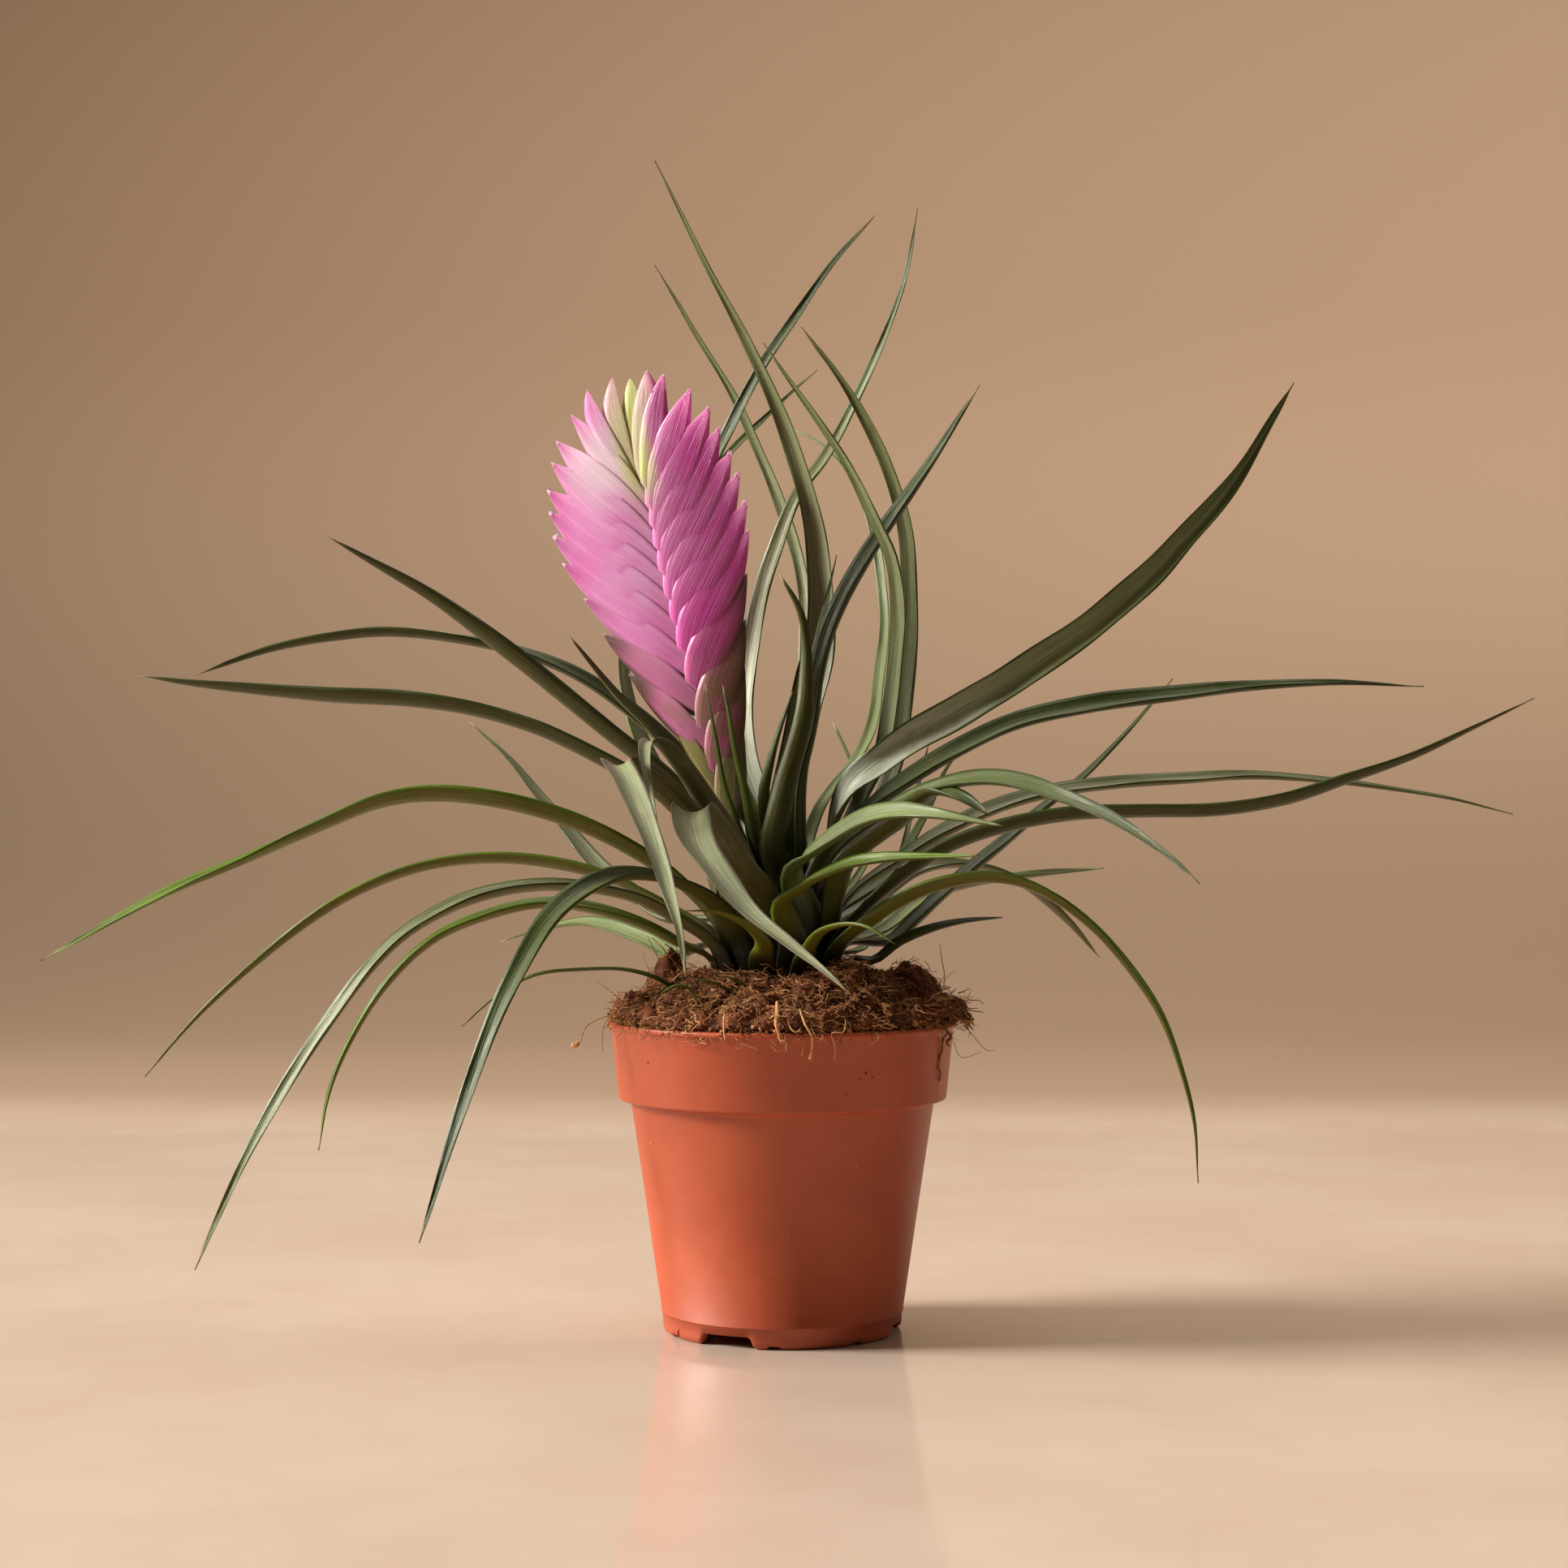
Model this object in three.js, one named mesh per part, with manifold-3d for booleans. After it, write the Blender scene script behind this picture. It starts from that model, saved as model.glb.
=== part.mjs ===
// A pink quill: a bromeliad with a flat pink flower spike, growing in coir in a plastic nursery pot.
// Millimetres, +Z up. The origin lies on the pot's axis, on the surface that the pot stands on.
// +X is to the right and -Y towards the viewer, with the flat of the flower spike facing the viewer.

import * as THREE from "three";
import { mergeVertices } from "three/addons/utils/BufferGeometryUtils.js";
import Module from "manifold-3d";

const wasm = await Module();
wasm.setup();

// Driving dimensions

// Clearance between pieces that touch in the real plant
const GAP = 0.3;

const POT = {
  height: 79.8,
  rimRadius: 45,
  beadHeight: 1.6,
  collarTopRadius: 44.15,
  collarFootRadius: 42.4,
  collarFootHeight: 60.2,
  bodyTopRadius: 39.1,
  bodyTopHeight: 59.4,
  partingRadius: 31.15,
  partingHeight: 5.35,
  footRadius: 30.85,
  footRounding: 2,
  footContactOuter: 29.7,
  footContactInner: 28.4,
  wall: 0.9,
  floorUnderside: 3.6,
  floorTop: 4.8,
  sides: 48,
};

// Each foot notch is centred at a bearing in degrees from the viewer's side, positive to the right.
const FOOT_NOTCHES = { bearings: [-28, 78, 152, 258], height: 3.1, span: 29 };
const FOOT_SLITS = { bearings: [-63, -4, 37.6, 117, 176, 217.6], height: 0.9, span: 6 };
const DRAIN_HOLES = { count: 6, circleRadius: 20, radius: 3.5 };

// The coir's mound: heights of its surface, and the bulge over the rim at the right
const COIR = {
  edgeHeight: 80.6,
  edgeRadius: 44.6,
  crownHeight: 91,
  crownRadius: 22,
  pitFloor: 83.6,
  sides: 56,
  topRings: 9,
};
// Lumps on the mound: place, height and spread
const COIR_LUMPS = [
  { x: 36, y: 2, rise: 3.5, spread: 9 },
  { x: 16, y: -20, rise: 3.6, spread: 6 },
  { x: -32, y: 8, rise: 8.5, spread: 7 },
  { x: 12, y: 30, rise: 3.5, spread: 9 },
  { x: -12, y: -31, rise: 1.8, spread: 8 },
  { x: 22, y: -26, rise: 2.2, spread: 8 },
];
const COIR_BULGE = { bearing: 78, reach: 4.2, spread: 22 };

// The leaf sheaths nest in layers round the stem, like cups that open upwards.
const CUP = {
  axisX: -1,
  soilHeight: 90,
  innerRadius: 2.8,
  layerStep: 1.35,
  leanAtCentre: 0.03,
  leanPerLayer: 0.045,
  footHeight: 84.6,
  leaveHeight: 124,
  leaveDropPerLayer: 3,
};

// A leaf's route is noted as the plant is seen from the front by an eye at this place:
// across and up on the upright plane through the pot's axis, then how far behind that plane it lies.
const EYE = { distance: 746, height: 137 };

const BLADE = {
  thickness: 0.72,
  halfAngle: THREE.MathUtils.degToRad(62),
  sheathPoints: 5,
  bladePoints: 3,
  ringSpacing: 12,
  taperStart: 0.42,
  tipWidth: 0.9,
};

// The flower spike: a flat paddle that leans to the left
const SPIKE = {
  baseX: -15.1,
  baseY: 1,
  baseZ: 145.4,
  lean: THREE.MathUtils.degToRad(13.84),
  length: 103.6,
};

const COLOURS = {
  pot: 0xc4683f,
  coir: 0x6b3f26,
  leaf: 0x3f4a26,
  leafYoung: 0x56682c,
  leafPale: 0x77856a,
  stem: 0x74783c,
  bract: 0xe0569f,
  bractYoung: 0xd8cf7a,
};

// Solids

function bareGeometry(geometry) {
  const bare = geometry.index ? geometry.toNonIndexed() : geometry.clone();
  for (const name of Object.keys(bare.attributes)) {
    if (name !== "position") bare.deleteAttribute(name);
  }
  return mergeVertices(bare, 1e-3);
}

function toSolid(geometry) {
  const merged = bareGeometry(geometry);
  return new wasm.Manifold(
    new wasm.Mesh({
      numProp: 3,
      vertProperties: new Float32Array(merged.attributes.position.array),
      triVerts: new Uint32Array(merged.index.array),
    }),
  );
}

function toGeometry(solid) {
  const mesh = solid.getMesh();
  const points = new Float32Array(mesh.numVert * 3);
  for (let i = 0; i < mesh.numVert; i++) {
    points.set(mesh.vertProperties.subarray(i * mesh.numProp, i * mesh.numProp + 3), i * 3);
  }
  const geometry = new THREE.BufferGeometry();
  geometry.setAttribute("position", new THREE.BufferAttribute(points, 3));
  geometry.setIndex(new THREE.BufferAttribute(new Uint32Array(mesh.triVerts), 1));
  geometry.computeVertexNormals();
  return geometry;
}

function joined(geometries) {
  let solid = toSolid(geometries[0]);
  for (const geometry of geometries.slice(1)) solid = solid.add(toSolid(geometry));
  return solid;
}

function largestBody(solid) {
  const bodies = solid.decompose();
  return bodies.reduce((best, body) => (body.volume() > best.volume() ? body : best));
}

function geometryFrom(points, triangles) {
  const geometry = new THREE.BufferGeometry();
  geometry.setAttribute(
    "position",
    new THREE.Float32BufferAttribute(points.flatMap((p) => [p.x, p.y, p.z]), 3),
  );
  geometry.setIndex(triangles);
  geometry.computeVertexNormals();
  return geometry;
}

function piece(name, geometry, colour, roughness) {
  const material = new THREE.MeshStandardMaterial({
    name,
    color: colour,
    roughness,
    metalness: 0,
    flatShading: false,
  });
  const mesh = new THREE.Mesh(geometry, material);
  mesh.name = name;
  return mesh;
}

function smooth(low, high, value) {
  return THREE.MathUtils.smoothstep(value, low, high);
}

function mix(a, b, share) {
  return a + (b - a) * share;
}

// A bearing is an angle from the viewer's side, positive to the right.
function atBearing(bearing, radius, height) {
  const angle = THREE.MathUtils.degToRad(bearing);
  return new THREE.Vector3(radius * Math.sin(angle), -radius * Math.cos(angle), height);
}

// Pot

function potProfile() {
  const { wall, height } = POT;
  const outer = [
    [0, POT.floorUnderside],
    [POT.footContactInner - 0.4, POT.floorUnderside],
    [POT.footContactInner, 0],
    [POT.footContactOuter, 0],
    [POT.footRadius - 0.35, 0.7],
    [POT.footRadius, POT.footRounding],
    [POT.footRadius + 0.1, POT.partingHeight - 0.2],
    [POT.partingRadius + 0.2, POT.partingHeight],
    [POT.partingRadius + 0.05, POT.partingHeight + 0.25],
    [POT.bodyTopRadius, POT.bodyTopHeight],
    [POT.collarFootRadius - 0.8, POT.collarFootHeight - 0.5],
    [POT.collarFootRadius, POT.collarFootHeight + 0.3],
    [POT.collarTopRadius, height - POT.beadHeight],
    [POT.rimRadius, height - POT.beadHeight + 0.4],
    [POT.rimRadius, height - 0.5],
    [POT.rimRadius - 0.5, height],
  ];
  const inner = [
    [POT.collarTopRadius - wall + 0.4, height],
    [POT.collarTopRadius - wall, height - 0.5],
    [POT.collarFootRadius - wall, POT.collarFootHeight + 1.4],
    [POT.bodyTopRadius - wall, POT.bodyTopHeight + 0.6],
    [POT.partingRadius - wall, POT.floorTop],
    [0, POT.floorTop],
  ];
  return [...outer, ...inner].map(([r, z]) => new THREE.Vector2(r, z));
}

function coneInnerRadius(z) {
  const { wall } = POT;
  if (z < POT.bodyTopHeight + 0.6) {
    const share = (z - POT.floorTop) / (POT.bodyTopHeight + 0.6 - POT.floorTop);
    return mix(POT.partingRadius, POT.bodyTopRadius, share) - wall;
  }
  const share = (z - POT.collarFootHeight - 1.4) / (POT.height - 0.5 - POT.collarFootHeight - 1.4);
  return mix(POT.collarFootRadius, POT.collarTopRadius, share) - wall;
}

// A wedge that cuts the foot ring, wider at the table than at its top
function footCut(bearing, height, span) {
  const inner = POT.footContactInner - 3;
  const outer = POT.footRadius + 2;
  const below = -1;
  const corner = (side, radius, top) =>
    atBearing(bearing + side * span * (top ? 0.42 : 0.52), radius, top ? height : below);
  const points = [
    corner(-1, inner, false),
    corner(1, inner, false),
    corner(1, outer, false),
    corner(-1, outer, false),
    corner(-1, inner, true),
    corner(1, inner, true),
    corner(1, outer, true),
    corner(-1, outer, true),
  ];
  // The bearing runs anticlockwise seen from above, so the lower face turns the other way.
  const faces = [
    [0, 1, 2, 3],
    [7, 6, 5, 4],
    [4, 5, 1, 0],
    [5, 6, 2, 1],
    [6, 7, 3, 2],
    [7, 4, 0, 3],
  ];
  const triangles = faces.flatMap(([a, b, c, d]) => [a, b, c, a, c, d]);
  const solid = toSolid(geometryFrom(points, triangles));
  return solid.volume() > 0 ? solid : toSolid(geometryFrom(points, triangles.reverse()));
}

function drainHole(index) {
  const bearing = (360 / DRAIN_HOLES.count) * (index + 0.5);
  const hole = new THREE.CylinderGeometry(DRAIN_HOLES.radius, DRAIN_HOLES.radius, 10, 16);
  hole.rotateX(Math.PI / 2);
  const centre = atBearing(bearing, DRAIN_HOLES.circleRadius, POT.floorTop);
  hole.translate(centre.x, centre.y, centre.z);
  return toSolid(hole);
}

function makePot() {
  const shell = new THREE.LatheGeometry(potProfile(), POT.sides);
  shell.rotateX(Math.PI / 2);
  let solid = toSolid(shell);
  for (const { bearings, height, span } of [FOOT_NOTCHES, FOOT_SLITS]) {
    for (const bearing of bearings) solid = solid.subtract(footCut(bearing, height, span));
  }
  for (let i = 0; i < DRAIN_HOLES.count; i++) solid = solid.subtract(drainHole(i));
  return piece("pot", toGeometry(solid), COLOURS.pot, 0.5);
}

// Leaves

function cupLean(layer) {
  return CUP.leanAtCentre + CUP.leanPerLayer * layer;
}

function cupRadius(layer, z) {
  return CUP.innerRadius + CUP.layerStep * layer + (z - CUP.soilHeight) * cupLean(layer);
}

function seenFromFront([across, up, behind]) {
  const scale = 1 + behind / EYE.distance;
  return new THREE.Vector3(across * scale, behind, EYE.height + (up - EYE.height) * scale);
}

// A leaf with a layer starts inside the cup of sheaths; one without starts at its route's first point.
function leafCurve(leaf) {
  const points = [];
  if (leaf.layer !== undefined) {
    const azimuth = THREE.MathUtils.degToRad(leaf.azimuth);
    const top = leaf.leave ?? CUP.leaveHeight - CUP.leaveDropPerLayer * leaf.layer;
    for (const share of [0, 0.33, 0.66, 1]) {
      const z = mix(CUP.footHeight, top, share);
      const radius = cupRadius(leaf.layer, z);
      points.push(
        new THREE.Vector3(CUP.axisX + radius * Math.cos(azimuth), radius * Math.sin(azimuth), z),
      );
    }
  }
  for (const point of leaf.route) points.push(seenFromFront(point));
  return new THREE.CatmullRomCurve3(points, false, "centripetal");
}

// How far along the leaf its sheath ends, as a share of its length
function sheathShare(leaf, curve) {
  if (leaf.layer === undefined) return 0;
  const top = leaf.leave ?? CUP.leaveHeight - CUP.leaveDropPerLayer * leaf.layer;
  return (top - CUP.footHeight) / Math.cos(Math.atan(cupLean(leaf.layer))) / curve.getLength();
}

function halfWidth(leaf, share, sheathEnd) {
  const blade = leaf.width / 2;
  const base = leaf.layer === undefined ? blade : leaf.sheath;
  const narrowed = mix(base, blade, smooth(sheathEnd * 0.5, sheathEnd + 0.16, share));
  const start = Math.max(leaf.taper ?? BLADE.taperStart, sheathEnd + 0.05);
  const towardsTip = Math.max(0, (share - start) / (1 - start));
  const blunt = leaf.blunt ?? 1.35;
  return mix(narrowed, BLADE.tipWidth / 2, Math.pow(towardsTip, blunt));
}

// The bend of the cross-section: round the stem in the sheath, a gutter in the blade
function sectionBend(leaf, share, sheathEnd, half, z) {
  const gutter = (leaf.gutter ?? 1) * (BLADE.halfAngle / half);
  if (leaf.layer === undefined) return gutter;
  const lean = Math.cos(Math.atan(cupLean(leaf.layer)));
  const round = lean / cupRadius(leaf.layer, Math.min(z, CUP.leaveHeight));
  return mix(round, gutter, smooth(sheathEnd * 0.9, sheathEnd + 0.14, share));
}

function leafFrame(leaf, curve, share, sheathEnd) {
  const along = curve.getTangentAt(Math.min(share, 0.9999));
  const turn = smooth(sheathEnd, Math.min(1, sheathEnd + 0.5), share);
  const heading = THREE.MathUtils.degToRad(
    mix(leaf.azimuth, leaf.tipAzimuth ?? leaf.azimuth, turn),
  );
  const side = new THREE.Vector3(-Math.sin(heading), Math.cos(heading), 0);
  side.addScaledVector(along, -side.dot(along)).normalize();
  const upper = new THREE.Vector3().crossVectors(along, side);
  const [midRoll, tipRoll] = leaf.roll ?? [0, 0];
  const early = smooth(sheathEnd, sheathEnd + 0.25, share);
  const late = smooth(0.5, 1, share);
  const roll = THREE.MathUtils.degToRad(mix(midRoll * early, tipRoll, late));
  side.applyAxisAngle(along, roll);
  upper.applyAxisAngle(along, roll);
  return { side, upper };
}

// One cross-section: a row of points on the upper face and a row on the lower face
function leafSection(route, frame, half, bend, count, thickness, sink) {
  const depth = (1 - Math.cos(bend * half)) / bend;
  const centre = route.clone().addScaledVector(frame.upper, -depth * sink);
  const upper = [];
  const lower = [];
  for (let i = 0; i < count; i++) {
    const angle = bend * half * ((2 * i) / (count - 1) - 1);
    const middle = centre
      .clone()
      .addScaledVector(frame.side, Math.sin(angle) / bend)
      .addScaledVector(frame.upper, (1 - Math.cos(angle)) / bend);
    const out = frame.upper
      .clone()
      .multiplyScalar(Math.cos(angle))
      .addScaledVector(frame.side, -Math.sin(angle));
    upper.push(middle.clone().addScaledVector(out, thickness / 2));
    lower.push(middle.clone().addScaledVector(out, -thickness / 2));
  }
  return { upper, lower };
}

// Triangles between two rows that run the same way and may have different numbers of points
function stripBetween(near, far, flipped) {
  const triangles = [];
  let i = 0;
  let j = 0;
  while (i < near.length - 1 || j < far.length - 1) {
    const nextNear = i < near.length - 1 ? (i + 1) / (near.length - 1) : Infinity;
    const nextFar = j < far.length - 1 ? (j + 1) / (far.length - 1) : Infinity;
    if (nextNear <= nextFar) {
      triangles.push([near[i], far[j], near[i + 1]]);
      i += 1;
    } else {
      triangles.push([near[i], far[j], far[j + 1]]);
      j += 1;
    }
  }
  return triangles.flatMap(([a, b, c]) => (flipped ? [a, c, b] : [a, b, c]));
}

function leafGeometry(leaf, thickness = BLADE.thickness) {
  const curve = leafCurve(leaf);
  const sheathEnd = sheathShare(leaf, curve);
  const rings = Math.max(6, Math.round(curve.getLength() / BLADE.ringSpacing));
  const points = [];
  const sections = [];
  const keep = (row) => row.map((point) => points.push(point) - 1);
  for (let i = 0; i <= rings; i++) {
    const share = i / (rings + 0.4);
    const centre = curve.getPointAt(share);
    const half = halfWidth(leaf, share, sheathEnd);
    const bend = sectionBend(leaf, share, sheathEnd, half, centre.z);
    const wide = leaf.layer !== undefined && share < sheathEnd + 0.08;
    const count = wide ? BLADE.sheathPoints : BLADE.bladePoints;
    const frame = leafFrame(leaf, curve, share, sheathEnd);
    const sink = 0.5 * smooth(sheathEnd, sheathEnd + 0.15, share);
    const section = leafSection(centre, frame, half, bend, count, thickness, sink);
    sections.push({ upper: keep(section.upper), lower: keep(section.lower) });
  }
  const tip = points.push(curve.getPointAt(1)) - 1;
  const triangles = [];
  const first = sections[0];
  triangles.push(...stripBetween(first.upper, first.lower, true));
  for (let i = 1; i < sections.length; i++) {
    const near = sections[i - 1];
    const far = sections[i];
    triangles.push(...stripBetween(near.upper, far.upper, false));
    triangles.push(...stripBetween(near.lower, far.lower, true));
    triangles.push(...stripBetween([near.upper[0], near.lower[0]], [far.upper[0], far.lower[0]], true));
    const nearEdge = [near.upper.at(-1), near.lower.at(-1)];
    const farEdge = [far.upper.at(-1), far.lower.at(-1)];
    triangles.push(...stripBetween(nearEdge, farEdge, false));
  }
  const last = sections.at(-1);
  const rim = [...last.upper, ...last.lower.toReversed()];
  rim.forEach((point, i) => triangles.push(point, tip, rim[(i + 1) % rim.length]));
  return geometryFrom(points, triangles);
}

// The leaves, from the heart outwards in each group. azimuth is where the sheath stands round the
// stem, in degrees anticlockwise from the right, and layer is its cup. sheath is half the sheath's
// width, and width the blade's, both measured flat. roll turns the blade about its own length at
// its middle and tip. taper is the share of the length where it starts to narrow, and blunt how
// late it does. route is the visible blade, noted as seenFromFront says.
const LEAVES = [
  { name: "leaf_heart_1", azimuth: 205, layer: 2.2, sheath: 2.4, width: 4.2,
    route: [[-10.5, 126, -6], [-12.7, 133, -8], [-15.3, 141, -9], [-17, 151, -10],
      [-18.6, 159.5, -11], [-20, 167, -11]] },
  { name: "leaf_heart_2", azimuth: 60, layer: 0.4, sheath: 2.8, width: 3.4,
    route: [[4, 142, 5], [6, 160, 7], [8, 173, 8], [14, 200, 9]] },
  { name: "leaf_heart_3", azimuth: 225, layer: 1.3, sheath: 2.6, width: 4.4,
    route: [[-8, 128, -8], [-9.6, 138, -11], [-12.7, 151, -13], [-14, 159.5, -14],
      [-15.4, 166.5, -14]] },
  { name: "leaf_heart_4", azimuth: 272, layer: 2.2, sheath: 3.3, width: 8,
    route: [[-2.8, 124, -12], [-1, 133, -13], [1, 141.7, -13], [3.5, 150.7, -13],
      [5.7, 160.3, -13], [6.3, 169, -12], [6.1, 178, -11], [4.4, 185.7, -11], [-0.6, 195, -10]] },
  { name: "leaf_heart_5", azimuth: 255, layer: 0.4, sheath: 2.4, width: 4.4,
    route: [[-4.2, 129, -7], [-5, 138, -8], [-3, 147, -8.5], [-0.4, 156, -8.5],
      [2.6, 164.7, -8.5]] },
  { name: "leaf_upright_1", azimuth: 75, layer: 1.3, sheath: 3.2, width: 11, tipAzimuth: 120,
    roll: [-11, 14], taper: 0.38, blunt: 0.79,
    route: [[0, 132, 10], [3, 146, 14], [6, 160, 17], [9.5, 175, 18], [10.2, 190, 18],
      [9, 203, 18], [6.5, 215.5, 17], [3.7, 225, 17], [-5, 247, 16], [-19, 274, 14],
      [-33, 302, 12]] },
  { name: "leaf_upright_2", azimuth: 120, layer: 3.1, sheath: 2.2, width: 5.4, roll: [14, -8],
    taper: 0.54, blunt: 2.05,
    route: [[-9, 136, 22], [-16, 158, 26], [-22, 180, 28], [-23, 197, 29], [-20, 218, 30],
      [-13.5, 233, 31], [-6, 247.5, 31], [3.1, 261.3, 31], [13.6, 276.2, 30], [24, 288, 30]] },
  { name: "leaf_upright_3", azimuth: 74, layer: 2.2, sheath: 3, width: 8.6, roll: [-8, 1],
    taper: 0.36, blunt: 1.07,
    route: [[-5, 136, 18], [-8.6, 146, 21], [-9.7, 158, 23], [-8.4, 173, 26], [-5.2, 190, 30],
      [-1.8, 201, 32], [4, 215.5, 34], [10.9, 225, 36], [18, 238, 38], [31, 269, 40],
      [35, 290, 41]] },
  { name: "leaf_upright_4", azimuth: 62, layer: 3.1, sheath: 3.2, width: 5.1, taper: 0.46,
    blunt: 1.46,
    route: [[4, 150, 27], [6, 170, 36], [6, 188, 42], [3.2, 203, 46], [0, 212, 48],
      [-5.2, 225, 51], [-12, 240, 54], [-24, 260, 57], [-33, 275, 58]] },
  { name: "leaf_upright_5", azimuth: 106, layer: 4, sheath: 3.6, width: 6,
    route: [[-17, 140, 30], [-26, 165, 44], [-29, 190, 53], [-24, 212, 58], [-14, 226, 61],
      [-1, 239, 64], [9, 248, 66]] },
  { name: "leaf_upright_6", azimuth: 24, layer: 4, sheath: 4.2, width: 6.9, roll: [16, 18],
    taper: 0.44, blunt: 1.5,
    route: [[19, 134, 3], [25.5, 147, 0], [28, 160, -2], [29.8, 174, -4], [30.2, 186, -6],
      [28.4, 199.5, -8], [23.6, 210, -9], [16, 225, -9], [10, 234, -9], [2, 245, -9],
      [-5, 255, -9]] },
  { name: "leaf_upright_7", azimuth: 60, layer: 5.8, sheath: 3.9, width: 7.9, roll: [-22, 9],
    taper: 0.5, blunt: 1.4,
    route: [[20, 126, 15], [26.2, 137.3, 16], [29.7, 147, 17], [31.9, 161, 18], [33, 174, 18],
      [33.3, 186.6, 18], [32.6, 203, 17], [30.4, 213.5, 16], [26.3, 225.5, 15],
      [20.6, 236.5, 14], [13.8, 247.5, 13], [4.8, 259, 12]] },
  { name: "leaf_upright_8", azimuth: 340, layer: 1.3, sheath: 3.2, width: 9.3, roll: [44, 39],
    taper: 0.6, blunt: 2.2,
    route: [[5, 143, -2], [7.5, 156, 0], [9, 168, 1], [11.6, 179, 2], [15.8, 189, 2],
      [22, 200, 2], [27.4, 208, 3], [33, 216, 3], [40, 226.4, 4], [51, 244, 5]] },
  { name: "leaf_back_1", azimuth: 76, layer: 4.9, sheath: 3.4, width: 4.2, roll: [-13, -1],
    taper: 0.5, blunt: 1.5,
    route: [[9, 133, 22], [13.5, 140.5, 30], [19, 147, 38], [23.2, 156, 46], [25.4, 171, 58],
      [26.5, 184, 68], [25.7, 193, 73.5], [24.3, 202, 79], [21.7, 212.6, 86], [17.6, 221, 92],
      [13.4, 226, 96], [7.2, 230.7, 102], [1, 233, 107]] },
  { name: "leaf_back_2", azimuth: 68, layer: 8.5, sheath: 3.2, width: 3,
    route: [[22, 122, 34], [21, 136, 43], [18, 146, 48], [13, 157, 54]] },
  { name: "leaf_back_3", azimuth: 140, layer: 4.9, sheath: 3.8, width: 9,
    route: [[-22, 128, 20], [-35, 148, 36], [-40, 162, 46], [-41, 178, 56], [-35, 197, 66]] },
  { name: "leaf_left_1", azimuth: 140, layer: 2.2, sheath: 2.5, width: 8.2, roll: [1, 20],
    taper: 0.61, blunt: 1.67,
    route: [[-15, 132, 12], [-28, 149.5, 14], [-43, 162.5, 13], [-55, 170, 13], [-68, 175, 13],
      [-85, 178.6, 12], [-102, 180, 12], [-114, 179, 12], [-131, 176, 12], [-152, 169, 12]] },
  { name: "leaf_left_2", azimuth: 200, layer: 3.1, sheath: 3.7, width: 8.1, roll: [18, 32],
    taper: 0.55, blunt: 1.89,
    route: [[-20, 131, -12], [-30, 142, -14], [-45, 154, -16], [-66, 171, -19], [-89, 188, -22],
      [-104, 197, -24], [-118, 205, -27]] },
  { name: "leaf_left_3", azimuth: 178, layer: 4, sheath: 4.7, width: 9, roll: [17, 30], taper: 0.63,
    blunt: 2,
    route: [[-20, 129, -1], [-28, 137, 0], [-41, 144, 1], [-55, 151.3, 2], [-63.3, 155, 2.5],
      [-79.8, 159.9, 3.5], [-96.4, 162.4, 4.3], [-116.3, 163.4, 5.2], [-137.8, 165.2, 6],
      [-154.3, 167, 6], [-167, 169, 6]] },
  { name: "leaf_left_4", azimuth: 166, layer: 5.8, sheath: 2.2, width: 5, roll: [-14, -26],
    taper: 0.6, blunt: 2,
    route: [[-19, 128, 7], [-24, 142, 6.5], [-34, 155, 5.5], [-43, 164, 5], [-55, 179, 4]] },
  { name: "leaf_left_5", azimuth: 194, layer: 6.7, sheath: 5.4, width: 10.4, roll: [17, -31],
    taper: 0.6, blunt: 1.27,
    route: [[-28, 116, -8], [-43, 126, -10], [-60, 133, -11], [-76, 136.8, -12], [-91, 138, -12],
      [-104, 136.2, -12], [-122, 129, -12], [-140, 121, -12], [-160, 112.4, -12],
      [-177, 103.3, -12], [-192, 95, -12]] },
  { name: "leaf_left_6", azimuth: 167, layer: 7.6, sheath: 5, width: 7.7, roll: [20, 21],
    taper: 0.35, blunt: 1.14,
    route: [[-28, 108, 3], [-43, 116, 5], [-58, 120, 7], [-72, 121.5, 9], [-85, 120.8, 10],
      [-97, 118.2, 11], [-110, 113, 11.5], [-122, 105.7, 12], [-134, 96.4, 12], [-152, 80, 11],
      [-165, 65, 10]] },
  { name: "leaf_left_7", azimuth: 202, layer: 8.5, sheath: 6.2, width: 9.8, roll: [-6, -48],
    taper: 0.39, blunt: 1.22,
    route: [[-27, 105, -12], [-38, 111.5, -17], [-51, 114.2, -21], [-64, 114.6, -24],
      [-76, 112.6, -27], [-86, 109, -28.5], [-97.5, 102.3, -30.5], [-107, 93, -32],
      [-114.8, 83, -33], [-130, 60, -36], [-142.3, 37, -38], [-152, 15, -40]] },
  { name: "leaf_left_8", azimuth: 178, layer: 9.4, sheath: 5.5, width: 8, roll: [-10, -21],
    taper: 0.47, blunt: 1.57,
    route: [[-26, 99, -3], [-37, 105, -5], [-51, 109, -6], [-62, 110, -7], [-76, 107, -8],
      [-90.5, 100.6, -9], [-103, 88.5, -9], [-112.6, 73, -9], [-117.6, 60, -9], [-120, 46, -9]] },
  { name: "leaf_left_9", azimuth: 226, layer: 7.6, sheath: 5.8, width: 9.8, tipAzimuth: 215,
    roll: [-13, -26], taper: 0.3, blunt: 1.66,
    route: [[-21, 112, -26], [-32, 117, -38], [-45, 116.5, -50], [-58, 108, -61],
      [-69.3, 90.5, -71], [-79.6, 66, -80], [-87.3, 43, -87], [-94, 22, -92]] },
  { name: "leaf_back_4", azimuth: 138, layer: 6.7, sheath: 3.6, width: 7.8, roll: [-12, -6],
    taper: 0.51, blunt: 1.08,
    route: [[-29, 106, 24], [-37, 111, 33], [-46.8, 118.5, 43], [-55, 128, 53],
      [-63.6, 138.6, 62], [-71.8, 148.3, 70], [-81, 157, 78]] },
  { name: "leaf_back_5", azimuth: 148, layer: 8.5, sheath: 3.7, width: 6.9, roll: [-22, -8],
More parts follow.
